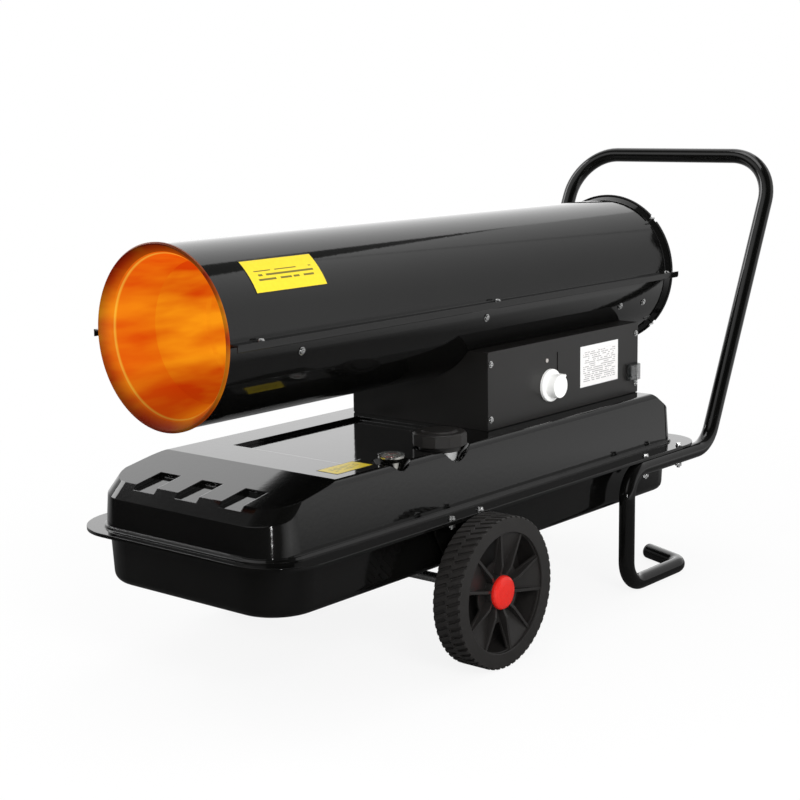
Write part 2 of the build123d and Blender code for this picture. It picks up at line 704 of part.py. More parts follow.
with BuildPart() as motor_bracket:
    extrude(sector(bracket_x, motor_r + run_gap, motor_r + 6, 270, 179.9), amount=4)
    for angle in (side_angle(-1, 22), side_angle(1, 22), 270):
        extrude(sector(bracket_x, motor_r + 4, wall_r, angle, 7), amount=4)
        extrude(sector(bracket_x, wall_r - 2, wall_r, angle, 7), amount=96)
    cut_radial_holes(screw_hole_r, wall_r - 6, wall_r + 4, screw_rows[2:])
motor_bracket.part.label = "motor_bracket"
export_step(motor_bracket.part, "parts/motor_bracket.step")

with BuildPart() as motor_shaft:
    with BuildSketch(Plane.YZ.offset(at(pump_front + 20))):
        with Locations((0, axis_z)):
            Circle(shaft_r)
    extrude(amount=fan_rear + 6 - pump_front - 20)
motor_shaft.part.label = "motor_shaft"
export_step(motor_shaft.part, "parts/motor_shaft.step")

with BuildPart() as air_pump:
    with BuildSketch(Plane.YZ.offset(at(pump_front))):
        with Locations((0, axis_z)):
            Circle(pump_r)
    extrude(amount=motor_front - pump_front)
    with BuildSketch(Plane.YZ.offset(at(pump_front + 10))):
        with Locations((0, axis_z)):
            Circle(pump_r + 6)
    extrude(amount=8)
    with BuildSketch(Plane.YZ.offset(at(pump_front + 20))):
        with Locations((0, axis_z)):
            Circle(shaft_r + run_gap)
    extrude(amount=60, mode=Mode.SUBTRACT)
    # outlet stub of the air line
    with BuildSketch(Plane.YZ.offset(at(pump_front))):
        with Locations((0, axis_z + pump_stub_z)):
            Circle(6)
            Circle(pipe_r + 0.2, mode=Mode.SUBTRACT)
    extrude(amount=-10)
air_pump.part.label = "air_pump"
export_step(air_pump.part, "parts/air_pump.step")

blade_count, blade_pitch = 5, 32.0
hub_r = 26.0
with BuildPart() as fan:
    with BuildSketch(Plane.YZ.offset(at(fan_front))):
        with Locations((0, axis_z)):
            Circle(hub_r)
            Circle(shaft_r, mode=Mode.SUBTRACT)
    extrude(amount=fan_rear - fan_front)
    for step in range(blade_count):
        angle = radians(90 + step * 360 / blade_count)
        out = Vector(0, cos(angle), sin(angle))
        chord = Vector(1, 0, 0).rotate(Axis((0, 0, 0), tuple(out)), blade_pitch)
        mid_x = at((fan_front + fan_rear) / 2)
        blade = Plane(origin=(mid_x, 0, axis_z), x_dir=out,
                      z_dir=out.cross(chord).normalized())
        with BuildSketch(blade):
            with BuildLine():
                Polyline((hub_r - 4, -15), (fan_r - 14, -26), (fan_r - 3, -10), (fan_r - 2, 18),
                         (fan_r - 12, 26), (hub_r - 4, 15), close=True)
            make_face()
        extrude(amount=0.9, both=True)
    with BuildSketch(Plane.YZ.offset(at(fan_front - 20))):
        with Locations((0, axis_z)):
            Circle(shaft_r)
    extrude(amount=80, mode=Mode.SUBTRACT)
fan.part.label = "fan"
export_step(fan.part, "parts/fan.step")

# intake guard: rings and spokes of wire, hooked over the rear edge of the barrel
rim_r, rim_front, rim_rear = flare_r + 2, barrel_len - 2, barrel_len + 2.6
wire_r = 1.6
guard_x = barrel_len + 3 * wire_r - 0.2
hook_angles = (45, 135, 225, 315)
with BuildPart() as intake_guard:
    for radius in (18, 34, 50, 66, 82, 98, 112, 125):
        with BuildSketch(Plane.XZ):
            with Locations((at(guard_x), axis_z + radius)):
                Circle(wire_r)
        revolve(axis=Axis((0, 0, axis_z), (1, 0, 0)))
    for angle in hook_angles:
        turn = radians(angle)
        out = Vector(0, cos(turn), sin(turn))
        centre = Vector(at(guard_x) - 2 * wire_r + 0.6, 0, axis_z)
        ahead = Vector(-1, 0, 0)
        bend = 2.6
        reach = flare_r + wire_r + 0.5
        with BuildLine() as spoke:
            inner = Line(centre + out * 18, centre + out * (reach - bend))
            corner = TangentArc(inner @ 1, inner @ 1 + out * bend + ahead * bend,
                                tangent=out)
            Line(corner @ 1, corner @ 1 + ahead * 12)
        with BuildSketch(Plane(origin=inner @ 0, z_dir=out)):
            Circle(wire_r)
        sweep(path=spoke.wires()[0])
intake_guard.part.label = "intake_guard"
export_step(intake_guard.part, "parts/intake_guard.step")

with BuildPart() as guard_rim:
    for angle in (0, 90, 180, 270):
        spread = 41.5
        extrude(sector(rim_front, flare_r, rim_r, angle, spread), amount=rim_rear - rim_front)
        # inward fold that lies against the end of the barrel
        extrude(sector(barrel_len, flare_r - 5, flare_r + 0.5, angle, spread),
                amount=rim_rear - barrel_len)
    round_edges = guard_rim.edges().filter_by(
        lambda edge: edge.geom_type == GeomType.CIRCLE and abs(edge.radius - rim_r) < 0.01)
    fillet(round_edges, 1.2)
    # room for the side lips of the two shells
    for side in (-1, 1):
        with BuildSketch(Plane.YZ.offset(at(rim_front - 2))):
            with Locations((side * (126.5 + 160) / 2, axis_z + (barrel_sheet - lip_skirt) / 2)):
                Rectangle(160 - 126.5, lip_skirt + barrel_sheet + 0.6)
        extrude(amount=20, mode=Mode.SUBTRACT)
guard_rim.part.label = "guard_rim"
export_step(guard_rim.part, "parts/guard_rim.step")

with BuildPart() as barrel_screws:
    for side in (-1, 1):
        for x, below in screw_rows:
            add(pan_head(radial_plane(x, barrel_r + 0.05, side, below), 4.8, 3.0, screw_r, 9))
        for x in seam_screw_x:
            top = Plane.XY.offset(axis_z + barrel_sheet).move(Location((at(x), side * seam_screw_y, 0)))
            add(pan_head(top, 4.8, 3.0, screw_r, 9))
barrel_screws.part.label = "barrel_screws"
export_step(barrel_screws.part, "parts/barrel_screws.step")


# ---------------------------------------------------------------- bent tubes and pipes
def bent_path(points, radii):
    """Straight lengths joined by tangent arcs; one radius for each inner point."""
    points = [Vector(*point) for point in points]
    with BuildLine() as path:
        start = points[0]
        for before, corner, after, radius in zip(points, points[1:], points[2:], radii):
            back = (before - corner).normalized()
            ahead = (after - corner).normalized()
            half = radians(back.get_angle(ahead)) / 2
            reach = radius / tan(half)
            middle = (back + ahead).normalized()
            centre = corner + middle * (radius / sin(half))
            Line(start, corner + back * reach)
            ThreePointArc(corner + back * reach, centre - middle * radius, corner + ahead * reach)
            start = corner + ahead * reach
        Line(start, points[-1])
    return path.wires()[0]


def swept_rod(points, radii, outer, bore=0.0):
    """Round rod or tube along a bent path."""
    path = bent_path(points, radii)
    with BuildPart() as rod:
        with BuildSketch(Plane(origin=path @ 0, z_dir=path % 0)):
            Circle(outer)
            if bore > 0:
                Circle(bore, mode=Mode.SUBTRACT)
        sweep(path=path)
    return rod.part


with BuildPart() as fuel_line:
    add(swept_rod([(at(pipe_x), 0, 166), (at(pipe_x), 0, axis_z - socket_z),
                   (at(nozzle_rear - 7), 0, axis_z - socket_z)], [14], pipe_r))
fuel_line.part.label = "fuel_line"
export_step(fuel_line.part, "parts/fuel_line.step")

air_bend = (nozzle_rear + pump_front) / 2     # the line drops to the nozzle's socket round here
with BuildPart() as air_line:
    add(swept_rod([(at(pump_front - 9.5), 0, axis_z + pump_stub_z),
                   (at(air_bend + 20), 0, axis_z + pump_stub_z),
                   (at(air_bend - 20), 0, axis_z + socket_z),
                   (at(nozzle_rear - 7), 0, axis_z + socket_z)], [14, 14], pipe_r))
air_line.part.label = "air_line"
export_step(air_line.part, "parts/air_line.step")

transformer_top = tank_top_z + 61
with BuildPart() as ignition_leads:
    for side in (-1, 1):
        add(swept_rod([(at(lead_x), side * lead_y, transformer_top),
                       (at(lead_x), side * lead_y, axis_z), (at(nozzle_rear), side * lead_y, axis_z)],
                      [18], 3.0))
ignition_leads.part.label = "ignition_leads"
export_step(ignition_leads.part, "parts/ignition_leads.step")

# ---------------------------------------------------------------- control box
box_low_z = tank_top_z
knob_x, knob_z = box_front + 173.5, box_low_z + 52
lamp_x, lamp_z = knob_x - 8, knob_z + 43
slot_x, slot_low, slot_high = knob_x + 23, knob_z + 19, knob_z + 54
switch_x, switch_z, switch_w, switch_h = box_rear - 20, box_low_z + 40, 30.0, 28.0
cover_screws = [(x, z) for x in (box_front + 7.5, box_rear - 7.5)
                for z in (box_low_z + 18, box_top_z - 20)]
gland_y, gland_z, cord_r = -60.0, box_low_z + 40, 4.0
box_mid_z = (tank_top_z + box_top_z) / 2
box_len, box_h = box_rear - box_front, box_top_z - tank_top_z
cover_sheet = 1.5
face_y = box_half + cover_sheet        # outer face of the control panel

with BuildPart() as control_box:
    with BuildSketch(Plane.XY.offset(tank_top_z)):
        with Locations((at((box_front + box_rear) / 2), 0)):
            Rectangle(box_len, 2 * box_half)
    extrude(amount=box_sheet)
    for x in (box_front, box_rear - box_sheet):
        with BuildSketch(Plane.YZ.offset(at(x))):
            with Locations((0, box_mid_z)):
                Rectangle(2 * box_half, box_h)
        extrude(amount=box_sheet)
    with BuildSketch(Plane.XY.offset(box_top_z - box_sheet)):
        with Locations((at((box_front + box_rear) / 2), 0)):
            Rectangle(box_len, 2 * box_half)
    extrude(amount=box_sheet)
    # folded edge round both side openings
    for side in (-1, 1):
        with BuildSketch(Plane.XZ.offset(-side * box_half)):
            with Locations((at((box_front + box_rear) / 2), box_mid_z)):
                Rectangle(box_len, box_h)
                Rectangle(box_len - 32, box_h - 36, mode=Mode.SUBTRACT)
        extrude(amount=side * box_sheet)
        with BuildSketch(Plane.XZ.offset(-side * box_half)):
            for x, z in cover_screws:
                with Locations((at(x), z)):
                    Circle(screw_hole_r)
        extrude(amount=side * 4, mode=Mode.SUBTRACT)
    # saddle for the barrel
    with BuildSketch(Plane.YZ.offset(at(box_front - 5))):
        with Locations((0, axis_z)):
            Circle(barrel_r + 0.05)
    extrude(amount=box_len + 10, mode=Mode.SUBTRACT)
    with BuildSketch(Plane.YZ.offset(at(box_rear + 5))):
        with Locations((gland_y, gland_z)):
            Circle(10.05)
    extrude(amount=-20, mode=Mode.SUBTRACT)
    with BuildSketch(Plane.XY.offset(tank_top_z - 5)):
        with Locations((at(pipe_x), 0)):
            Circle(pipe_r + 0.2)
    extrude(amount=10, mode=Mode.SUBTRACT)
    with BuildSketch(Plane.XZ.offset(box_half + 5)):
        with Locations((at(switch_x), switch_z)):
            Rectangle(switch_w - 3.6, switch_h - 5.6)
    extrude(amount=-10, mode=Mode.SUBTRACT)
control_box.part.label = "control_box"
export_step(control_box.part, "parts/control_box.step")


def side_cover(side):
    """Flat cover over one side of the control box."""
    with BuildPart() as cover:
        with BuildSketch(Plane.XZ.offset(-side * box_half)):
            with Locations((at((box_front + box_rear) / 2), box_mid_z + 0.5)):
                RectangleRounded(box_len, box_h - 1, 2)
            for x, z in cover_screws:
                with Locations((at(x), z)):
                    Circle(screw_hole_r, mode=Mode.SUBTRACT)
        extrude(amount=-side * cover_sheet)
    return cover.part


with BuildPart() as control_panel:
    add(side_cover(-1))
    with BuildSketch(Plane.XZ.offset(box_half - 1)):
        with Locations((at(knob_x), knob_z)):
            Circle(4)
        with Locations((at(lamp_x), lamp_z)):
            Circle(2.6)
        with Locations((at(slot_x), (slot_low + slot_high) / 2)):
            Rectangle(3, slot_high - slot_low)
        with Locations((at(switch_x), switch_z)):
            Rectangle(switch_w - 3.6, switch_h - 5.6)
    extrude(amount=5, mode=Mode.SUBTRACT)
control_panel.part.label = "control_panel"
export_step(control_panel.part, "parts/control_panel.step")

with BuildPart() as service_cover:
    add(side_cover(1))
    # row of vent slots
    with BuildSketch(Plane.XZ.offset(-box_half - 5)):
        for step in range(9):
            with Locations((at((box_front + box_rear) / 2 + (step - 4) * 22), box_mid_z)):
                SlotOverall(50, 6, rotation=90)
    extrude(amount=10, mode=Mode.SUBTRACT)
service_cover.part.label = "service_cover"
export_step(service_cover.part, "parts/service_cover.step")

with BuildPart() as cover_screw_set:
    for side in (-1, 1):
        for x, z in cover_screws:
            seat = Plane(origin=(at(x), side * face_y, z), x_dir=(1, 0, 0), z_dir=(0, side, 0))
            add(pan_head(seat, 4.2, 2.8, screw_r, 9))
cover_screw_set.part.label = "cover_screws"
export_step(cover_screw_set.part, "parts/cover_screws.step")

with BuildPart() as thermostat:
    with BuildSketch(Plane.XZ.offset(box_half)):
        with Locations((at(knob_x), knob_z)):
            RectangleRounded(36, 32, 3)
            Circle(3 + run_gap, mode=Mode.SUBTRACT)
    extrude(amount=-26)
thermostat.part.label = "thermostat"
export_step(thermostat.part, "parts/thermostat.step")

with BuildPart() as knob_shaft:
    with BuildSketch(Plane.XZ.offset(face_y + 16)):
        with Locations((at(knob_x), knob_z)):
            Circle(3)
    extrude(amount=-30)
knob_shaft.part.label = "thermostat_shaft"
export_step(knob_shaft.part, "parts/thermostat_shaft.step")

knob_r, grip_r = 28.0, 19.5
with BuildPart() as knob:
    with BuildSketch(Plane.XZ.offset(face_y + 0.2)):
        with Locations((at(knob_x), knob_z)):
            Circle(knob_r)
    extrude(amount=6)
    fillet(knob.edges().filter_by(GeomType.CIRCLE).group_by(Axis.Y)[0], 2)
    with BuildSketch(Plane.XZ.offset(face_y + 6.2)):
        with Locations((at(knob_x), knob_z)):
            Circle(grip_r + 1)
    extrude(amount=17, taper=3)
    # pointer rib on the grip
    with BuildSketch(Plane.XZ.offset(face_y + 6.2)):
        with Locations((at(knob_x), knob_z)):
            with PolarLocations(grip_r - 1, 1, start_angle=51):
                Rectangle(9, 4)
    extrude(amount=17.6)
    with BuildSketch(Plane.XZ.offset(face_y)):
        with Locations((at(knob_x), knob_z)):
            Circle(3)
    extrude(amount=16, mode=Mode.SUBTRACT)
knob.part.label = "thermostat_knob"
export_step(knob.part, "parts/thermostat_knob.step")

with BuildPart() as lamp:
    with BuildSketch(Plane.XZ.offset(face_y)):
        with Locations((at(lamp_x), lamp_z)):
            Circle(3.6)
    extrude(amount=1.6)
    fillet(lamp.edges().group_by(Axis.Y)[0], 1.2)
    with BuildSketch(Plane.XZ.offset(face_y)):
        with Locations((at(lamp_x), lamp_z)):
            Circle(2.5)
    extrude(amount=-12)
lamp.part.label = "indicator_lamp"
export_step(lamp.part, "parts/indicator_lamp.step")

rocker_pivot, rocker_pin_r, rocker_tilt = face_y - 3, 1.2, 9.0
with BuildPart() as switch_body:
    with BuildSketch(Plane.XZ.offset(face_y)):
        with Locations((at(switch_x), switch_z)):
            Rectangle(switch_w, switch_h)
    extrude(amount=2)
    with BuildSketch(Plane.XZ.offset(face_y)):
        with Locations((at(switch_x), switch_z)):
            Rectangle(switch_w - 4, switch_h - 6)
    extrude(amount=-24)
    with BuildSketch(Plane.XZ.offset(face_y + 2)):
        with Locations((at(switch_x), switch_z)):
            Rectangle(switch_w - 8, switch_h - 9)
    extrude(amount=-14, mode=Mode.SUBTRACT)
    with BuildSketch(Plane.YZ.offset(at(switch_x))):
        with Locations((-rocker_pivot, switch_z)):
            Circle(rocker_pin_r + run_gap)
    extrude(amount=12.6, both=True, mode=Mode.SUBTRACT)
switch_body.part.label = "switch_body"
export_step(switch_body.part, "parts/switch_body.step")

# the rocker rests pressed in at its lower end
rocker_side = Plane(origin=(at(switch_x), -rocker_pivot, switch_z),
                    x_dir=(0, -cos(radians(rocker_tilt)), sin(radians(rocker_tilt))), z_dir=(1, 0, 0))
with BuildPart() as rocker:
    with BuildSketch(rocker_side):
        with BuildLine():
            Polyline((8, 8.2), (5.6, 0), (8, -8.2), (1, -7.2), (-4, 0), (1, 7.2), close=True)
        make_face()
    extrude(amount=(switch_w - 9) / 2, both=True)
    with BuildSketch(rocker_side):
        Circle(rocker_pin_r)
    extrude(amount=12.4, both=True)
rocker.part.label = "switch_rocker"
export_step(rocker.part, "parts/switch_rocker.step")

boot_depth = 9.6
with BuildPart() as boot:
    with BuildSketch(Plane.XZ.offset(face_y)):
        with Locations((at(switch_x), switch_z)):
            RectangleRounded(switch_w + 3.4, switch_h + 3.4, 3)
    extrude(amount=boot_depth, taper=5)
    fillet(boot.edges().group_by(Axis.Y)[0], 2)
    with BuildSketch(Plane.XZ.offset(face_y)):
        with Locations((at(switch_x), switch_z)):
            Rectangle(switch_w + 0.4, switch_h + 0.4)
    extrude(amount=boot_depth - 1.4, taper=5, mode=Mode.SUBTRACT)
boot.part.label = "switch_boot"
export_step(boot.part, "parts/switch_boot.step")

with BuildPart() as transformer:
    with BuildSketch(Plane.XY.offset(tank_top_z + box_sheet)):
        with Locations((at(lead_x + 35), 0)):
            RectangleRounded(84, 76, 5)
    extrude(amount=transformer_top - 6 - tank_top_z - box_sheet)
    with BuildSketch(Plane.XY.offset(transformer_top - 6)):
        with Locations((at(lead_x), -lead_y), (at(lead_x), lead_y)):
            Circle(6)
    extrude(amount=6)
transformer.part.label = "ignition_transformer"
export_step(transformer.part, "parts/ignition_transformer.step")

with BuildPart() as gland:
    with BuildSketch(Plane.YZ.offset(at(box_rear - 8))):
        with Locations((gland_y, gland_z)):
            Circle(10)
    extrude(amount=12)
    with BuildSketch(Plane.YZ.offset(at(box_rear))):
        with Locations((gland_y, gland_z)):
            RegularPolygon(14, 6)
    extrude(amount=6)
    with BuildSketch(Plane.YZ.offset(at(box_rear + 6))):
        with Locations((gland_y, gland_z)):
            Circle(11)
    extrude(amount=10, taper=14)
    with BuildSketch(Plane.YZ.offset(at(box_rear - 10))):
        with Locations((gland_y, gland_z)):
            Circle(cord_r)
    extrude(amount=30, mode=Mode.SUBTRACT)
gland.part.label = "cord_gland"
export_step(gland.part, "parts/cord_gland.step")

label_t = 0.3
with BuildPart() as rating_label:
    with BuildSketch(Plane.XZ.offset(face_y)):
        with Locations((at(box_rear - 127), box_mid_z + 5)):
            Rectangle(120, 72)
    extrude(amount=label_t)
rating_label.part.label = "rating_label"
export_step(rating_label.part, "parts/rating_label.step")

with BuildPart() as barrel_label:
    extrude(sector(74, barrel_r + 0.2, barrel_r + 0.2 + label_t, 139.5, 12.5), amount=145)
barrel_label.part.label = "barrel_label"
export_step(barrel_label.part, "parts/barrel_label.step")

with BuildPart() as tank_label:
    with BuildSketch(Plane.XY.offset(tank_top_z)):
        with Locations((at(225), -137)):
            Rectangle(80, 42)
    extrude(amount=label_t)
tank_label.part.label = "tank_label"
export_step(tank_label.part, "parts/tank_label.step")

# ---------------------------------------------------------------- carrying frame
lip_low_z = flange_z - 2 * tank_sheet
rail_z = lip_low_z - frame_tube_r
stub_end = (1084.0, 136.0)
half_path = [(at(stub_end[0]), -stub_end[1], frame_tube_r), (at(foot_x), -frame_y, frame_tube_r),
             (at(leg_x), -frame_y, frame_tube_r), (at(leg_x), -frame_y, rail_z),
             (at(rail_end_x), -frame_y, rail_z), (at(handle_x), -frame_y, handle_z)]
frame_points = half_path + [(x, -y, z) for x, y, z in reversed(half_path)]
half_radii = [30, 46, 46, 60, 92]

with BuildPart() as frame:
    add(swept_rod(frame_points, half_radii + half_radii[::-1], frame_tube_r, frame_tube_r - frame_wall))
    with BuildSketch(Plane.XY.offset(rail_z - 20)):
        with Locations([(at(x), side * frame_y) for x in frame_bolt_x for side in (-1, 1)]):
            Circle(bolt_hole_r)
    extrude(amount=40, mode=Mode.SUBTRACT)
frame.part.label = "carrying_frame"
export_step(frame.part, "parts/carrying_frame.step")

with BuildPart() as foot_plugs:
    for side in (-1, 1):
        end = Vector(at(stub_end[0]), side * stub_end[1], frame_tube_r)
        bend = Vector(at(foot_x), side * frame_y, frame_tube_r)
        plug = Plane(origin=end, z_dir=(end - bend).normalized())
        with BuildSketch(plug):
            Circle(frame_tube_r)
        extrude(amount=3)
        with BuildSketch(plug):
            Circle(frame_tube_r - frame_wall - 0.05)
        extrude(amount=-14)
foot_plugs.part.label = "foot_plugs"
export_step(foot_plugs.part, "parts/foot_plugs.step")


def hex_bolt(x, y, length):
    """Flanged hexagon bolt standing on the tank's flange."""
    with BuildPart() as bolt:
        with BuildSketch(Plane.XY.offset(flange_z)):
            with Locations((x, y)):
                Circle(6)
        extrude(amount=1.2)
        with BuildSketch(Plane.XY.offset(flange_z + 1.2)):
            with Locations((x, y)):
                RegularPolygon(5.2, 6)
        extrude(amount=4, taper=8)
        with BuildSketch(Plane.XY.offset(flange_z)):
            with Locations((x, y)):
                Circle(bolt_r)
        extrude(amount=-length)
    return bolt.part


def hex_nut(x, y, top_z):
    """Nut whose upper face is at top_z."""
    with BuildPart() as nut:
        with BuildSketch(Plane.XY.offset(top_z)):
            with Locations((x, y)):
                RegularPolygon(5.8, 6)
                Circle(bolt_r + 0.05, mode=Mode.SUBTRACT)
        extrude(amount=-5)
    return nut.part


bracket_low_z = lip_low_z - bracket_sheet
frame_bolt_len = flange_z - rail_z + frame_tube_r + 8
with BuildPart() as frame_bolts:
    for x in frame_bolt_x:
        for side in (-1, 1):
            add(hex_bolt(at(x), side * frame_y, frame_bolt_len))
frame_bolts.part.label = "frame_bolts"
export_step(frame_bolts.part, "parts/frame_bolts.step")

with BuildPart() as bracket_bolts:
    for x in bracket_bolt_x:
        for side in (-1, 1):
            add(hex_bolt(at(x), side * frame_y, flange_z - bracket_low_z + 8))
bracket_bolts.part.label = "bracket_bolts"
export_step(bracket_bolts.part, "parts/bracket_bolts.step")

with BuildPart() as nuts:
    for side in (-1, 1):
        for x in frame_bolt_x:
            add(hex_nut(at(x), side * frame_y, rail_z - frame_tube_r))
        for x in bracket_bolt_x:
            add(hex_nut(at(x), side * frame_y, bracket_low_z))
nuts.part.label = "flange_nuts"
export_step(nuts.part, "parts/flange_nuts.step")

# ---------------------------------------------------------------- axle and wheels
wheel_z = wheel_r
wheel_axis = Axis((at(wheel_x), 0, wheel_z), (0, 1, 0))
axle_end = hub_out + 6
bracket_front, bracket_rear = 350.0, 478.0

with BuildPart() as axle_brackets:
    for side in (-1, 1):
        with BuildSketch(Plane.XY.offset(lip_low_z)):
            with Locations((at((bracket_front + bracket_rear) / 2), side * (bracket_y + 230) / 2)):
                Rectangle(bracket_rear - bracket_front, 230 - bracket_y)
        extrude(amount=-bracket_sheet)
        with BuildSketch(Plane.XZ.offset(-side * bracket_y)):
            with BuildLine():
                Polyline((at(bracket_front), lip_low_z), (at(bracket_rear), lip_low_z),
                         (at(bracket_rear), lip_low_z - 20), (at(wheel_x) + 20, wheel_z),
                         (at(wheel_x) + 12, wheel_z - 18), (at(wheel_x) - 12, wheel_z - 18),
                         (at(wheel_x) - 20, wheel_z), (at(bracket_front), lip_low_z - 20), close=True)
            make_face()
            with Locations((at(wheel_x), wheel_z)):
                Circle(axle_r + run_gap, mode=Mode.SUBTRACT)
        extrude(amount=-side * bracket_sheet)
    with BuildSketch(Plane.XY.offset(lip_low_z)):
        with Locations([(at(x), side * frame_y) for x in bracket_bolt_x for side in (-1, 1)]):
            Circle(bolt_hole_r)
    extrude(amount=-8, mode=Mode.SUBTRACT)
axle_brackets.part.label = "axle_brackets"
export_step(axle_brackets.part, "parts/axle_brackets.step")

with BuildPart() as axle:
    with BuildSketch(Plane.XZ.offset(-axle_end)):
        with Locations((at(wheel_x), wheel_z)):
            Circle(axle_r)
    extrude(amount=2 * axle_end)
    chamfer(axle.edges().filter_by(GeomType.CIRCLE), 1)
axle.part.label = "axle"
export_step(axle.part, "parts/axle.step")

boss_r, window_in_r, rim_in_r = 27.5, 50.0, 94.0   # hub boss, inner end of a window, inside of the tyre
web_sheet = 4.0
dish_y, web_y = 262.0, wheel_out - 5          # outer face of the web at the boss and at the tyre
rib_y = wheel_out - 3
spoke_count, rib_count, groove_w = 5, 56, 5.2
spoke_angle, window_angle = 79.0, 43.0        # first spoke and first window, from +X towards +Z


def tread_grooves():
    """Two rows of slanting grooves; a zigzag band stays between them."""
    with BuildPart() as grooves:
        for step in range(rib_count):
            for row in (-1, 1):
                turn = radians((step + row * 0.25) * 360 / rib_count)
                out = Vector(cos(turn), 0, sin(turn))
                along = Vector(0, row, 0).rotate(Axis((0, 0, 0), tuple(out)), 24)
                middle = Vector(at(wheel_x), -(wheel_in + wheel_out) / 2 + row * 2, wheel_z)
                foot = middle + out * (wheel_r - groove_depth) + along * 17
                with BuildSketch(Plane(origin=foot, x_dir=along, z_dir=out)):
                    Rectangle(34, groove_w)
                extrude(amount=groove_depth + 2)
    return grooves.part


def spoke_rib(angle):
    """Upright rib along one edge of a spoke, from the hub boss to the tyre."""
    turn = radians(angle)
    out = Vector(cos(turn), 0, sin(turn))
    rib_plane = Plane(origin=(at(wheel_x), 0, wheel_z), x_dir=out, z_dir=out.cross(Vector(0, -1, 0)))
    with BuildPart() as rib:
        with BuildSketch(rib_plane):
            with BuildLine():
                Polyline((boss_r - 3, dish_y - web_sheet), (rim_in_r + 1, web_y - web_sheet),
                         (rim_in_r + 1, rib_y), (boss_r + 14, rib_y - 1), (boss_r - 3, hub_out - 1),
                         close=True)
            make_face()
        extrude(amount=2.2, both=True)
    return rib.part


def wheel():
    """Moulded wheel on the control panel's side."""
    with BuildPart() as body:
        with BuildSketch(Plane.YZ.offset(at(wheel_x))):
            with BuildLine():
                Polyline((-hub_in, wheel_z + axle_r + run_gap), (-hub_in, wheel_z + 17),
                         (-dish_y + web_sheet, wheel_z + boss_r - 4),
                         (-web_y + web_sheet, wheel_z + rim_in_r), (-wheel_in, wheel_z + rim_in_r),
                         (-wheel_in, wheel_z + wheel_r - 1.5),
                         (-wheel_in - 1.5, wheel_z + wheel_r), (-wheel_out + 1.5, wheel_z + wheel_r),
                         (-wheel_out, wheel_z + wheel_r - 1.5),
                         (-wheel_out, wheel_z + rim_in_r + 1), (-wheel_out + 1, wheel_z + rim_in_r),
                         (-web_y, wheel_z + rim_in_r), (-dish_y, wheel_z + boss_r),
                         (-hub_out + 1, wheel_z + boss_r), (-hub_out, wheel_z + boss_r - 1),
                         (-hub_out, wheel_z + axle_r + run_gap), close=True)
            make_face()
        revolve(axis=wheel_axis)
        # disc that closes the back
        with BuildSketch(Plane.XZ.offset(wheel_in + 3)):
            with Locations((at(wheel_x), wheel_z)):
                Circle(rim_in_r + 1)
                Circle(16, mode=Mode.SUBTRACT)
        extrude(amount=3)
        for step in range(spoke_count):
            turn = step * 360 / spoke_count
            window = ring_sector(Plane.XZ.offset(dish_y - 6), (at(wheel_x), wheel_z), window_in_r,
                                 rim_in_r - 1, window_angle + turn, 17)
            extrude(window, amount=wheel_out - dish_y + 8, mode=Mode.SUBTRACT)
            for lean in (-16, 16):
                add(spoke_rib(spoke_angle + turn + lean))
        add(tread_grooves(), mode=Mode.SUBTRACT)
    return body.part


near_solid = wheel()
with BuildPart() as near_wheel:
    add(near_solid)
near_wheel.part.label = "near_wheel"
export_step(near_wheel.part, "parts/near_wheel.step")

with BuildPart() as far_wheel:
    add(near_solid)
    mirror(about=Plane.XZ, mode=Mode.REPLACE)
far_wheel.part.label = "far_wheel"
export_step(far_wheel.part, "parts/far_wheel.step")


def hub_cap(side):
    """Domed cap over the axle's end."""
    with BuildPart() as cap:
        with BuildSketch(Plane.YZ.offset(at(wheel_x))):
            with BuildLine():
                Polyline((side * (hub_out + 10), wheel_z), (side * (hub_out + 9.6), wheel_z + 14),
                         (side * (hub_out + 8.6), wheel_z + 21), (side * (hub_out + 6.6), wheel_z + 24.8),
                         (side * (hub_out + 4), wheel_z + 26.3), (side * hub_out, wheel_z + 26.5),
                         (side * hub_out, wheel_z + 17), (side * (hub_out + 7.5), wheel_z + 13.5),
                         (side * (hub_out + 8), wheel_z), close=True)
            make_face()
        revolve(axis=wheel_axis)
    return cap.part


with BuildPart() as near_cap:
    add(hub_cap(-1))
near_cap.part.label = "near_hub_cap"
export_step(near_cap.part, "parts/near_hub_cap.step")

with BuildPart() as far_cap:
    add(hub_cap(1))
far_cap.part.label = "far_hub_cap"
export_step(far_cap.part, "parts/far_hub_cap.step")

bracket_out = bracket_y + bracket_sheet
with BuildPart() as washers:
    for side in (-1, 1):
        for from_y, to_y in ((bracket_out, hub_in - 0.2), (hub_out + 0.1, hub_out + 2.1)):
            with BuildSketch(Plane.XZ.offset(-side * from_y)):
                with Locations((at(wheel_x), wheel_z)):
                    Circle(13)
                    Circle(axle_r + 0.05, mode=Mode.SUBTRACT)
            extrude(amount=-side * (to_y - from_y))
washers.part.label = "axle_washers"
export_step(washers.part, "parts/axle_washers.step")

with BuildPart() as push_nuts:
    for side in (-1, 1):
        with BuildSketch(Plane.XZ.offset(-side * (hub_out + 2.2))):
            with Locations((at(wheel_x), wheel_z)):
                Circle(11)
                Circle(axle_r, mode=Mode.SUBTRACT)
        extrude(amount=-side * 3)
push_nuts.part.label = "push_nuts"
export_step(push_nuts.part, "parts/push_nuts.step")
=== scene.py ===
import math

import bpy
from mathutils import Matrix, Vector


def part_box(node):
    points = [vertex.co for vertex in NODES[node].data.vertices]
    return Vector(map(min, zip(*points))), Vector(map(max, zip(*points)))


bl_info = {
    "name": "Forced Air Heater",
    "version": (1, 0, 0),
    "blender": (4, 5, 0),
    "location": "View3D > Sidebar > Heater",
    "description": "Finishes and studio for a wheeled forced air heater",
    "category": "Object",
}

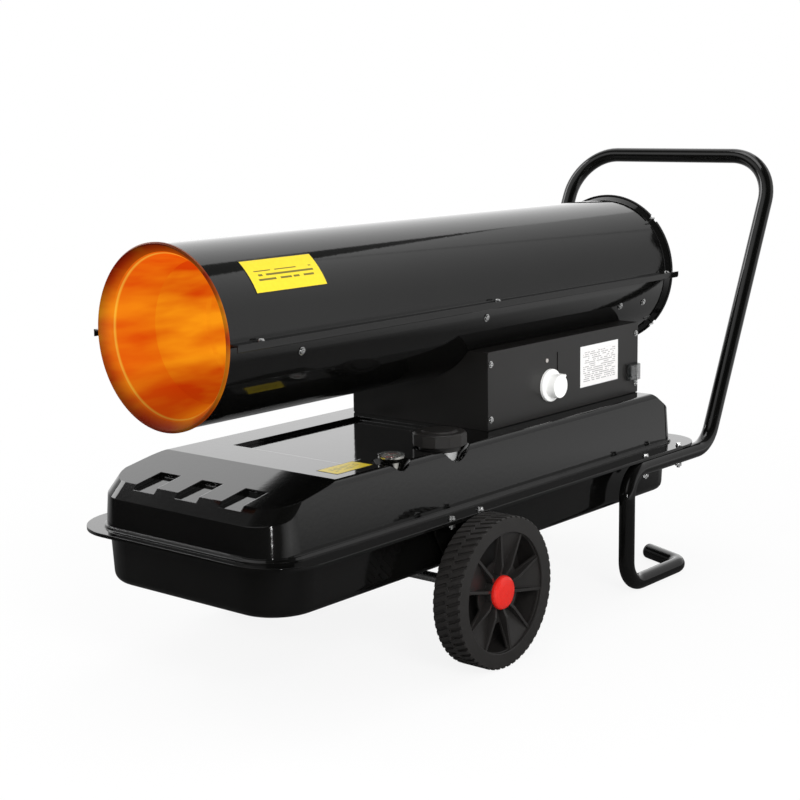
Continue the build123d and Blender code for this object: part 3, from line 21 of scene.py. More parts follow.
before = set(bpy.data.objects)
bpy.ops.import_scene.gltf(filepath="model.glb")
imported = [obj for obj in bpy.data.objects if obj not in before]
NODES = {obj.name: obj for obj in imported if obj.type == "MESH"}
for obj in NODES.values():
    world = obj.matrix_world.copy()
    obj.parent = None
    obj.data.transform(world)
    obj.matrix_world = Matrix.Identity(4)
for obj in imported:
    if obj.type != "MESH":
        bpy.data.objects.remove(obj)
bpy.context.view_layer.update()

MM = 0.001
MOUTH_X = -0.6925            # the barrel's mouth, in the heater's own frame
AXIS_Z = 0.540               # height of the barrel's axis


def at(x_mm):
    """Station x mm behind the barrel's mouth, in metres in the frame."""
    return MOUTH_X + x_mm * MM


# ---------------------------------------------------------------- colours and node helper
def linear(colour):
    """sRGB hex such as '#1a1a1a' as linear RGBA; a colour from the settings is linear already."""
    if not isinstance(colour, str):
        return tuple(colour)
    value = colour.lstrip("#")
    parts = [int(value[i:i + 2], 16) / 255 for i in (0, 2, 4)]
    parts = [c / 12.92 if c <= 0.04045 else ((c + 0.055) / 1.055) ** 2.4 for c in parts]
    return (*parts, 1.0)


def add_node(tree, kind, settings=None, links=None):
    """Adds one node; settings are attributes or input values, links are input: output socket."""
    node = tree.nodes.new(kind)
    for key, value in (settings or {}).items():
        if isinstance(key, str) and hasattr(node, key):
            setattr(node, key, value)
        else:
            node.inputs[key].default_value = value
    for key, socket in (links or {}).items():
        tree.links.new(socket, node.inputs[key])
    return node


def new_material(name):
    """Empty node material with an output; returns material, tree and output node."""
    material = bpy.data.materials.new(name)
    material.use_nodes = True
    material.node_tree.nodes.clear()
    output = add_node(material.node_tree, "ShaderNodeOutputMaterial")
    return material, material.node_tree, output


def finish(name, dark, light, patch_mm, rough, grain_mm=1.2, grain=0.0, metallic=0.0,
           ior=1.5, alpha=1.0, transmission=0.0, edge_mm=0.6):
    """A surface whose colour and gloss drift over patches, with fine grain and rounded edges."""
    grain_depth = 0.2            # height of the grain as a share of its width
    material, tree, output = new_material(name)
    place = add_node(tree, "ShaderNodeTexCoord")
    patches = add_node(tree, "ShaderNodeTexNoise", {"Scale": 1000.0 / patch_mm, "Detail": 3.0},
                       {"Vector": place.outputs["Object"]})
    colour = add_node(tree, "ShaderNodeMix", {"data_type": "RGBA"},
                      {"Factor": patches.outputs["Fac"]})
    colour.inputs[6].default_value = linear(dark)
    colour.inputs[7].default_value = linear(light)
    gloss = add_node(tree, "ShaderNodeMapRange", {"To Min": rough[0], "To Max": rough[1]},
                     {"Value": patches.outputs["Fac"]})
    shader = add_node(tree, "ShaderNodeBsdfPrincipled",
                      {"Metallic": metallic, "Alpha": alpha, "Transmission Weight": transmission},
                      {"Base Color": colour.outputs[2], "Roughness": gloss.outputs["Result"]})
    if metallic == 0.0:
        shader.inputs["IOR"].default_value = ior
    fine = add_node(tree, "ShaderNodeTexNoise", {"Scale": 1000.0 / grain_mm, "Detail": 2.0},
                    {"Vector": place.outputs["Object"]})
    edges = add_node(tree, "ShaderNodeBevel", {"samples": 6, "Radius": edge_mm * MM})
    relief = add_node(tree, "ShaderNodeBump",
                      {"Strength": grain, "Distance": grain_mm * MM * grain_depth},
                      {"Height": fine.outputs["Fac"], "Normal": edges.outputs["Normal"]})
    tree.links.new(relief.outputs["Normal"], shader.inputs["Normal"])
    tree.links.new(shader.outputs["BSDF"], output.inputs["Surface"])
    return material


def black_powder_gloss():
    # Gloss black polyester powder coat, sprayed and baked: mirror-like with a faint orange peel
    return finish("black_powder_gloss", "#050505", "#0a0a09", patch_mm=60, rough=(0.05, 0.09),
                  grain_mm=7.0, grain=0.035, edge_mm=1.8)


def black_powder_satin():
    # Satin black powder coat on folded sheet: dark grey, soft highlights, fine even grain
    return finish("black_powder_satin", "#141312", "#1a1918", patch_mm=40, rough=(0.30, 0.38),
                  grain_mm=1.4, grain=0.12, edge_mm=1.0)


def moulded_black():
    # Injection moulded black polypropylene: charcoal, semi-matt, slightly cloudy flow marks
    return finish("moulded_black_polypropylene", "#1c1b1a", "#252322", patch_mm=18,
                  rough=(0.38, 0.5), grain_mm=1.6, grain=0.2, edge_mm=1.2)


def black_rubber():
    # Pressed black rubber: matt and a little dusty
    return finish("pressed_black_rubber", "#161616", "#1f1e1e", patch_mm=12, rough=(0.6, 0.75),
                  grain_mm=1.5, grain=0.3)


def red_plastic():
    # Glossy red moulded polypropylene: even bright red with small soft highlights
    return finish("moulded_red_polypropylene", colours().hub_cap_dark, colours().hub_cap_light,
                  patch_mm=14, rough=(0.2, 0.28), grain_mm=1.5, grain=0.06, edge_mm=1.5)


def white_plastic():
    # White moulded ABS: clean and slightly warm, semi-gloss
    return finish("moulded_white_abs", colours().white_dark, colours().white_light, patch_mm=12,
                  rough=(0.28, 0.38), grain_mm=1.2, grain=0.08)


def white_ceramic():
    # Glazed alumina insulator: bright white glaze
    return finish("glazed_white_ceramic", "#e2dfd6", "#efece4", patch_mm=10, rough=(0.12, 0.2),
                  grain_mm=1.5, grain=0.05)


def zinc_plate():
    # Bright zinc plated steel: silvery with slightly uneven cold grey patches
    return finish("bright_zinc_plate", "#dcdddd", "#eeeeed", patch_mm=5, rough=(0.2, 0.32),
                  grain_mm=1.2, grain=0.1, metallic=1.0)


def turned_steel():
    # Turned and ground steel: clean grey metal
    return finish("turned_steel", "#9c9c9c", "#b4b4b2", patch_mm=6, rough=(0.22, 0.32),
                  grain_mm=1.2, grain=0.1, metallic=1.0)


def polished_metal():
    # Polished nickel ring of the gauge: bright, near mirror
    return finish("polished_nickel", "#b8b6b0", "#d0cec8", patch_mm=8, rough=(0.12, 0.2),
                  grain_mm=1.2, grain=0.05, metallic=1.0)


def cast_metal():
    # Sand cast aluminium: dull grey with a coarse skin
    return finish("cast_aluminium", "#7c7c7a", "#929290", patch_mm=10, rough=(0.45, 0.6),
                  grain_mm=2.2, grain=0.4, metallic=1.0)


def brass():
    # Machined brass: warm yellow metal with slight tarnish
    return finish("machined_brass", "#a5803a", "#c49a4c", patch_mm=6, rough=(0.25, 0.4),
                  grain_mm=1.2, grain=0.1, metallic=1.0)


def copper():
    # Drawn copper pipe: pinkish metal, lightly oxidised
    return finish("drawn_copper", "#8f4f36", "#b06a48", patch_mm=10, rough=(0.28, 0.42),
                  grain_mm=1.2, grain=0.1, metallic=1.0)


def clear_plastic():
    # Clear polycarbonate: colourless with soft reflections and a trace of haze
    return finish("clear_polycarbonate", "#c2c6c6", "#cdd0d0", patch_mm=20, rough=(0.04, 0.09),
                  grain_mm=2.0, grain=0.03, ior=1.45, transmission=0.9, alpha=0.3, edge_mm=0.8)


def smoked_vinyl():
    # Soft smoked vinyl cover over the switch: dark and see-through, with thin bright edges
    return finish("smoked_vinyl", "#5c6060", "#6a6e6e", patch_mm=15, rough=(0.06, 0.12),
                  grain_mm=2.0, grain=0.03, ior=1.45, transmission=0.85, alpha=0.4, edge_mm=1.2)


def dial_red():
    # Matt red lacquer on the pointer
    return finish("red_lacquer", "#b31f17", "#c22a20", patch_mm=5, rough=(0.4, 0.5),
                  grain_mm=1.0, grain=0.05)


def lamp_acrylic():
    # Unlit neon lamp behind a frosted acrylic lens: pale warm grey, glossy
    return finish("frosted_acrylic_lens", "#a39d99", "#b9b4b0", patch_mm=4, rough=(0.15, 0.25),
                  grain_mm=1.0, grain=0.04)


def steel_with_painted_glow(name, stops, streak, dark_mm):
    """Steel with a painted glow that stands for the burner flame's light; stops are (mm behind the
    mouth, colour) pairs.
    """
    # Heat-blued mild steel, rolled: dull brown metal, with a painted orange glow that stands for
    # the flame's light while the burner runs
    streaks_per_m = (6.0, 14.0, 24.0)              # drawn out along the barrel
    dimmest_streak, brightest_streak = 0.28, 0.64                  # noise values of the streaks' two tones
    redden_per_m = -1.6
    rim_full_glow, rim_dimmest, rim_least = 0.04, 0.135, 0.25     # metres off the axis, and glow left
    low_dimmest, low_full_glow, low_least = -0.125, -0.05, 0.42   # metres above the axis, and glow left
    material, tree, output = new_material(name)
    front, rear = stops[0][0], stops[-1][0]
    place = add_node(tree, "ShaderNodeTexCoord")
    parts = add_node(tree, "ShaderNodeSeparateXYZ", None, {"Vector": place.outputs["Object"]})
    depth = add_node(tree, "ShaderNodeMapRange", {"From Min": at(front), "From Max": at(rear)},
                     {"Value": parts.outputs["X"]})
    painted_glow_ramp = add_node(tree, "ShaderNodeValToRGB", None, {"Fac": depth.outputs["Result"]})
    ramp = painted_glow_ramp.color_ramp
    for x_mm, colour in stops[1:-1]:
        ramp.elements.new((x_mm - front) / (rear - front)).color = linear(colour)
    ramp.elements[0].color, ramp.elements[-1].color = linear(stops[0][1]), linear(stops[-1][1])
    # painted light: streaks of brighter and dimmer flame glow
    along = add_node(tree, "ShaderNodeMapping", {"Scale": streaks_per_m},
                     {"Vector": place.outputs["Object"]})
    drift = add_node(tree, "ShaderNodeTexNoise", {"Scale": 1.0, "Detail": 3.0, "Roughness": 0.45},
                     {"Vector": along.outputs["Vector"]})
    rise = add_node(tree, "ShaderNodeMath", {"operation": "SUBTRACT", 1: AXIS_Z},
                    {0: parts.outputs["Z"]})
    apart = add_node(tree, "ShaderNodeMath", {"operation": "ABSOLUTE"}, {0: rise.outputs[0]})
    # painted shade of the glow: redder towards the top and the bottom
    redder = add_node(tree, "ShaderNodeMath", {"operation": "MULTIPLY_ADD", 1: redden_per_m},
                      {0: apart.outputs[0], 2: drift.outputs["Fac"]})
    brighter_streak = add_node(tree, "ShaderNodeMapRange", {"From Min": dimmest_streak, "From Max": brightest_streak},
                      {"Value": redder.outputs[0]})
    tones = add_node(tree, "ShaderNodeMix", {"data_type": "RGBA"},
                     {"Factor": brighter_streak.outputs["Result"]})
    tones.inputs[6].default_value = linear("#b81a02")
    tones.inputs[7].default_value = linear("#ffb018")
    mixed = add_node(tree, "ShaderNodeMix", {"data_type": "RGBA", "Factor": streak},
                     {6: painted_glow_ramp.outputs["Color"], 7: tones.outputs[2]})
    # painted shade: the rim's glow dims towards the top and the bottom
    rim_shade = add_node(tree, "ShaderNodeMapRange", {"From Min": rim_full_glow, "From Max": rim_dimmest,
                                                 "To Min": 1.0, "To Max": rim_least},
                    {"Value": apart.outputs[0]})
    edge = add_node(tree, "ShaderNodeMath", {"operation": "GREATER_THAN", 1: at(dark_mm)},
                    {0: parts.outputs["X"]})
    # painted shade: behind the rim the lowest part of the steel glows least
    low = add_node(tree, "ShaderNodeMapRange", {"From Min": low_dimmest, "From Max": low_full_glow,
                                                "To Min": low_least, "To Max": 1.0},
                   {"Value": rise.outputs[0]})
    inner = add_node(tree, "ShaderNodeMath", {"operation": "MULTIPLY"},
                     {0: edge.outputs[0], 1: low.outputs["Result"]})
    level = add_node(tree, "ShaderNodeMath", {"operation": "MAXIMUM"},
                     {0: rim_shade.outputs["Result"], 1: inner.outputs[0]})
    # the emission is painted light: the steel glows though it is no lamp
    shader = add_node(tree, "ShaderNodeBsdfPrincipled",
                      {"Base Color": linear("#4a2a1a"), "Metallic": 1.0, "Roughness": 0.45},
                      {"Emission Color": mixed.outputs[2], "Emission Strength": level.outputs[0]})
    tree.links.new(shader.outputs["BSDF"], output.inputs["Surface"])
    return material


def printed_film(name, ground, edge, box_low, box_high, axes, border_mm, row_mm, ink_hex):
    """Printed polyester film label: thin even border and rows of plain bars."""
    # Screen printed polyester film: flat bright colour under a thin clear gloss
    bar_share = 0.45             # bar's height as a share of its row
    bar_rows = 2.5               # length of the bars and gaps, in rows
    row_shift = 7.3              # keeps the bars of neighbouring rows apart
    gap_level = 0.45             # noise below this is a gap between bars
    blank_rows = 2.2             # bare margin round the bars, in rows
    ink_patch_mm = 6
    material, tree, output = new_material(name)
    place = add_node(tree, "ShaderNodeTexCoord")
    parts = add_node(tree, "ShaderNodeSeparateXYZ", None, {"Vector": place.outputs["Object"]})

    def within(margin_mm):
        """1 inside the label's outline less a margin."""
        field = None
        for axis in axes:
            low, high = box_low["XYZ".index(axis)], box_high["XYZ".index(axis)]
            for kind, limit in (("GREATER_THAN", low + margin_mm * MM),
                                ("LESS_THAN", high - margin_mm * MM)):
                step = add_node(tree, "ShaderNodeMath", {"operation": kind, 1: limit},
                                {0: parts.outputs[axis]})
                field = step if field is None else add_node(
                    tree, "ShaderNodeMath", {"operation": "MULTIPLY"},
                    {0: field.outputs[0], 1: step.outputs[0]})
        return field

    inside = within(border_mm)
    # rows of short bars, as print looks from a distance
    across = parts.outputs[axes[1]]
    count = add_node(tree, "ShaderNodeMath", {"operation": "MULTIPLY", 1: 1000.0 / row_mm},
                     {0: across})
    share = add_node(tree, "ShaderNodeMath", {"operation": "FRACT"}, {0: count.outputs[0]})
    row = add_node(tree, "ShaderNodeMath", {"operation": "LESS_THAN", 1: bar_share},
                   {0: share.outputs[0]})
    whole = add_node(tree, "ShaderNodeMath", {"operation": "FLOOR"}, {0: count.outputs[0]})
    spot = add_node(tree, "ShaderNodeCombineXYZ", None,
                    {"X": parts.outputs["X"], "Y": whole.outputs[0]})
    stretch = add_node(tree, "ShaderNodeMapping",
                       {"Scale": (1000.0 / (bar_rows * row_mm), row_shift, 1.0)},
                       {"Vector": spot.outputs["Vector"]})
    gaps = add_node(tree, "ShaderNodeTexNoise", {"Scale": 1.0, "Detail": 1.0},
                    {"Vector": stretch.outputs["Vector"]})
    length = add_node(tree, "ShaderNodeMath", {"operation": "GREATER_THAN", 1: gap_level},
                      {0: gaps.outputs["Fac"]})
    strokes = add_node(tree, "ShaderNodeMath", {"operation": "MULTIPLY"},
                       {0: row.outputs[0], 1: length.outputs[0]})
    block = within(border_mm + blank_rows * row_mm)
    bars = add_node(tree, "ShaderNodeMath", {"operation": "MULTIPLY"},
                    {0: strokes.outputs[0], 1: block.outputs[0]})
    ink = add_node(tree, "ShaderNodeTexNoise", {"Scale": 1000.0 / ink_patch_mm, "Detail": 2.0},
                   {"Vector": place.outputs["Object"]})
    ground_mix = add_node(tree, "ShaderNodeMix", {"data_type": "RGBA"},
                          {"Factor": ink.outputs["Fac"]})
    ground_mix.inputs[6].default_value = linear(ground[0])
    ground_mix.inputs[7].default_value = linear(ground[1])
    print_mix = add_node(tree, "ShaderNodeMix", {"data_type": "RGBA"},
                         {"Factor": bars.outputs[0], 6: ground_mix.outputs[2]})
    print_mix.inputs[7].default_value = linear(ink_hex)
    colour = add_node(tree, "ShaderNodeMix", {"data_type": "RGBA"},
                      {"Factor": inside.outputs[0], 7: print_mix.outputs[2]})
    colour.inputs[6].default_value = linear(edge)
    shader = add_node(tree, "ShaderNodeBsdfPrincipled", {"Roughness": 0.32, "IOR": 1.5},
                      {"Base Color": colour.outputs[2]})
    tree.links.new(shader.outputs["BSDF"], output.inputs["Surface"])
    return material


MATERIALS = {}


def material_for(maker):
    """Makes each material once, and again when a colour in the settings has changed."""
    key = (maker.__name__, *(tuple(getattr(colours(), name)) for name in COLOUR_SETTINGS))
    if key not in MATERIALS:
        MATERIALS[key] = maker()
    return MATERIALS[key]


def coat_nodes(names, material):
    """Gives CAD nodes a material."""
    for name in names:
        slots = NODES[name].data.materials
        slots.clear()
        slots.append(material)


# ---------------------------------------------------------------- settings
def tone(name, hex_colour):
    """Colour setting whose default is given as sRGB hex."""
    return bpy.props.FloatVectorProperty(name=name, subtype="COLOR", size=4, min=0.0, max=1.0,
                                         default=linear(hex_colour))


class HeaterColours(bpy.types.PropertyGroup):
    # each surface drifts between a darker and a lighter tone
    hub_cap_dark: tone("Hub caps, darker tone", "#c01a14")
    hub_cap_light: tone("Hub caps, lighter tone", "#d0251b")
    white_dark: tone("Knob and strainer, darker tone", "#f2f2f0")
    white_light: tone("Knob and strainer, lighter tone", "#f8f8f6")
    film_dark: tone("Yellow films, darker tone", "#dfc217")
    film_light: tone("Yellow films, lighter tone", "#e8ce22")


COLOUR_SETTINGS = ("hub_cap_dark", "hub_cap_light", "white_dark", "white_light", "film_dark",
                   "film_light")


def colours():
    """The colours set in the scene."""
    return bpy.context.scene.heater_colours


class HeaterStage(bpy.types.PropertyGroup):
    lens: bpy.props.FloatProperty(name="Lens", description="Focal length of the camera",
                                  default=73.94, min=10, max=300, unit="CAMERA")
    key_power: bpy.props.FloatProperty(name="Key power", description="Power of the main softbox",
                                       default=95.0, min=0, unit="POWER")


# ---------------------------------------------------------------- pieces
class HEATER_OT_paint_shell(bpy.types.Operator):
    """Powder coats the tank, the barrel, the brackets and the carrying frame"""
    bl_idname = "heater.paint_shell"
    bl_label = "Paint Shell"

    def execute(self, context):
        coat_nodes(("tank_upper_pressing", "tank_lower_pressing", "barrel_upper_shell",
                    "barrel_lower_shell", "carrying_frame", "axle_brackets"),
                   material_for(black_powder_gloss))
        coat_nodes(("foot_plugs",), material_for(moulded_black))
        coat_nodes(("drain_plug",), material_for(zinc_plate))
        return {"FINISHED"}


class HEATER_OT_control_box(bpy.types.Operator):
    """Finishes the control box, its panel and the fittings on it"""
    bl_idname = "heater.control_box"
    bl_label = "Control Box"

    def execute(self, context):
        coat_nodes(("control_box", "control_panel", "service_cover"),
                   material_for(black_powder_satin))
        coat_nodes(("thermostat", "switch_body", "switch_rocker", "cord_gland",
                    "ignition_transformer", "ignition_leads"), material_for(moulded_black))
        coat_nodes(("thermostat_knob",), material_for(white_plastic))
        coat_nodes(("thermostat_shaft",), material_for(turned_steel))
        coat_nodes(("indicator_lamp",), material_for(lamp_acrylic))
        coat_nodes(("switch_boot",), material_for(smoked_vinyl))
        return {"FINISHED"}


class HEATER_OT_labels(bpy.types.Operator):
    """Plain printed films on the barrel, the tank and the control panel"""
    bl_idname = "heater.labels"
    bl_label = "Labels"

    def execute(self, context):
        yellow = (colours().film_dark, colours().film_light)
        white = ("#e9e7e6", "#efedec")
        for name, ground, edge, axes, border, row, ink in (
                ("barrel_label", yellow, "#2a2812", "XZ", 1.2, 6.0, "#6b6418"),
                ("tank_label", yellow, "#2a2812", "XY", 1.2, 5.0, "#8a8020"),
                ("rating_label", white, "#dcdddd", "XZ", 1.0, 3.6, "#a9a8a8")):
            low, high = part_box(name)
            coat_nodes((name,), printed_film(name + "_film", ground, edge, low, high, axes, border,
                                             row, ink))
        return {"FINISHED"}


class HEATER_OT_running_gear(bpy.types.Operator):
    """Wheels, hub caps and axle"""
    bl_idname = "heater.running_gear"
    bl_label = "Running Gear"

    def execute(self, context):
        coat_nodes(("near_wheel", "far_wheel"), material_for(moulded_black))
        coat_nodes(("near_hub_cap", "far_hub_cap"), material_for(red_plastic))
        coat_nodes(("axle", "axle_washers", "push_nuts"), material_for(zinc_plate))
        return {"FINISHED"}


class HEATER_OT_fasteners(bpy.types.Operator):
    """Zinc plated screws, bolts and nuts"""
    bl_idname = "heater.fasteners"
    bl_label = "Fasteners"

    def execute(self, context):
        coat_nodes(("barrel_screws", "cover_screws", "frame_bolts", "bracket_bolts", "flange_nuts"),
                   material_for(zinc_plate))
        return {"FINISHED"}


class HEATER_OT_filler_and_gauge(bpy.types.Operator):
    """Filler neck, cap, strainer, and the fuel gauge with its float"""
    bl_idname = "heater.filler_and_gauge"
    bl_label = "Filler and Gauge"

    def execute(self, context):
        coat_nodes(("fuel_cap", "gauge_float"), material_for(moulded_black))
        coat_nodes(("filler_neck", "float_arm"), material_for(zinc_plate))
        coat_nodes(("filler_strainer",), material_for(white_plastic))
        coat_nodes(("cap_gasket",), material_for(black_rubber))
        coat_nodes(("gauge_body",), material_for(polished_metal))
        coat_nodes(("gauge_lens",), material_for(clear_plastic))
        coat_nodes(("gauge_pointer",), material_for(dial_red))
        return {"FINISHED"}


class HEATER_OT_hot_end(bpy.types.Operator):
    """Outlet cone, combustion chamber, baffle and burner"""
    bl_idname = "heater.hot_end"
    bl_label = "Hot End"

    def execute(self, context):
        cone_streak, chamber_streak = 0.42, 0.62       # share of the streaks in the glow
        # the first dark_rim_mm of the cone is the rim, where the painted glow dims towards the top
        # and the bottom as painted shade
        dark_rim_mm = 12
        # painted glow along the cone and the chamber: the dark first stop is painted shade at the
        # rim, and the pale yellow stops at 15.4 and 16.8 mm are a painted highlight on the ring at
        # the step
        cone_painted_glow = ((-3, "#3c1206"), (3, "#a8380a"), (10, "#e8680e"), (14.2, "#f27a14"),
                     (15.4, "#ffc44e"), (16.8, "#ffb636"), (18.4, "#f0640e"), (50, "#ea5a0a"),
                     (82, "#e04c06"))
        chamber_painted_glow = ((60, "#e04c06"), (200, "#e65408"), (640, "#ee7610"))
        coat_nodes(("outlet_cone",), steel_with_painted_glow("glowing_cone_steel", cone_painted_glow, cone_streak,
                                              dark_rim_mm))
        coat_nodes(("combustion_chamber", "flame_baffle"),
                   steel_with_painted_glow("glowing_chamber_steel", chamber_painted_glow, chamber_streak, 0))
        coat_nodes(("chamber_brackets",), material_for(zinc_plate))
        coat_nodes(("burner_head",), material_for(brass))
        coat_nodes(("electrodes",), material_for(white_ceramic))
        coat_nodes(("fuel_line", "air_line"), material_for(copper))
        return {"FINISHED"}


class HEATER_OT_blower(bpy.types.Operator):
    """Fan, motor, pump, wire guard and the rubber edging on the barrel's rear end"""
    bl_idname = "heater.blower"
    bl_label = "Blower"

    def execute(self, context):
        coat_nodes(("fan", "fan_motor", "air_pump"), material_for(cast_metal))
        coat_nodes(("motor_shaft",), material_for(turned_steel))
        coat_nodes(("motor_bracket", "intake_guard"), material_for(zinc_plate))
        coat_nodes(("guard_rim",), material_for(black_rubber))
        return {"FINISHED"}


# ---------------------------------------------------------------- stage
FLOOR_HALF, FLOOR_Z = 12.0, -0.0005            # metres; the floor lies 0.5 mm under the wheels
PLAIN_LIGHT, WHITE = 0.8, 1.0                  # surroundings as a light, and as a background
CAMERA_PLACE = (-2.2205, -1.7205, 0.8587)      # the photograph's station, in metres
CAMERA_ANGLES = (40.0944, 10.2444, -0.8861)    # yaw, pitch downwards and roll, in degrees
SENSOR_MM, FAR_CLIP = 36.0, 60.0
MIDDLE = (0, 0, 0.4)
# name, place, aim, width, height, power as a share of the key's
SOFTBOXES = (
    ("key_softbox", (-2.0, -3.0, 2.1), MIDDLE, 1.6, 1.6, 1.0),
    ("top_softbox", (0.2, 0.3, 3.0), MIDDLE, 1.2, 1.2, 0.12),
    ("rear_softbox", (-0.6, 2.8, 2.4), MIDDLE, 1.4, 1.4, 0.27),
    # just above the floor, for the edge of light on the tank's near front corner
    ("low_strip", (-2.2, -1.72, 0.17), (-0.6, -0.16, 0.27), 0.14, 0.3, 0.05))


def white_floor(scene):
    """Floor that is white to the camera but for the heater's shadow, with painted shade where
    reflections see it.
    """
    paint_low, paint_high, paint_patches = 0.8, 0.84, 8.0
    near_m, far_m, near_tone, far_tone = 0.9, 2.2, 0.12, 0.72     # what reflections see of it
    front_x, back_x, front_share = -1.3, -0.2, 0.05
    shadow_m, plain_m, shadow_share = 0.8, 1.8, 0.88              # what the camera sees of it
    corners = [(x * FLOOR_HALF, y * FLOOR_HALF, FLOOR_Z)
               for x, y in ((-1, -1), (1, -1), (1, 1), (-1, 1))]
    mesh = bpy.data.meshes.new("floor")
    mesh.from_pydata(corners, [], [(0, 1, 2, 3)])
    floor = bpy.data.objects.new("floor", mesh)
    scene.collection.objects.link(floor)
    material, tree, output = new_material("painted_white_floor")
    seen = add_node(tree, "ShaderNodeLightPath")
    grain = add_node(tree, "ShaderNodeTexNoise", {"Scale": paint_patches})
    tint = add_node(tree, "ShaderNodeMapRange", {"To Min": paint_low, "To Max": paint_high},
                    {"Value": grain.outputs["Fac"]})
    # painted shade in reflections: they see a floor that is dark near the heater and in front of it
    place = add_node(tree, "ShaderNodeTexCoord")
    parts = add_node(tree, "ShaderNodeSeparateXYZ", None, {"Vector": place.outputs["Object"]})
    reach = add_node(tree, "ShaderNodeVectorMath", {"operation": "LENGTH"},
                     {0: place.outputs["Object"]})
    away = add_node(tree, "ShaderNodeMapRange", {"From Min": near_m, "From Max": far_m,
                                                 "To Min": near_tone, "To Max": far_tone},
                    {"Value": reach.outputs["Value"]})
    behind = add_node(tree, "ShaderNodeMapRange", {"From Min": front_x, "From Max": back_x,
                                                   "To Min": front_share, "To Max": 1.0},
                      {"Value": parts.outputs["X"]})
    reflected_painted_shade = add_node(tree, "ShaderNodeMath", {"operation": "MULTIPLY"},
                        {0: away.outputs["Result"], 1: behind.outputs["Result"]})
    tone = add_node(tree, "ShaderNodeMix", {"data_type": "FLOAT"},
                    {0: seen.outputs["Is Glossy Ray"], 2: tint.outputs["Result"],
                     3: reflected_painted_shade.outputs[0]})
    paint = add_node(tree, "ShaderNodeBsdfDiffuse", None, {"Color": tone.outputs[0]})
    glow = add_node(tree, "ShaderNodeEmission", {"Color": (1, 1, 1, 1)},
                    {"Strength": seen.outputs["Is Camera Ray"]})
    # most of the floor is plain white; some of its paint shows near the heater, with the shadow
    far = add_node(tree, "ShaderNodeMapRange", {"From Min": shadow_m, "From Max": plain_m,
                                                "To Min": shadow_share, "To Max": 1.0},
                   {"Value": reach.outputs["Value"]})
    share = add_node(tree, "ShaderNodeMath", {"operation": "MULTIPLY"},
                     {0: seen.outputs["Is Camera Ray"], 1: far.outputs["Result"]})
    weak = add_node(tree, "ShaderNodeMixShader", None,
                    {0: share.outputs[0], 1: paint.outputs[0], 2: glow.outputs[0]})
    tree.links.new(weak.outputs[0], output.inputs["Surface"])
    mesh.materials.append(material)


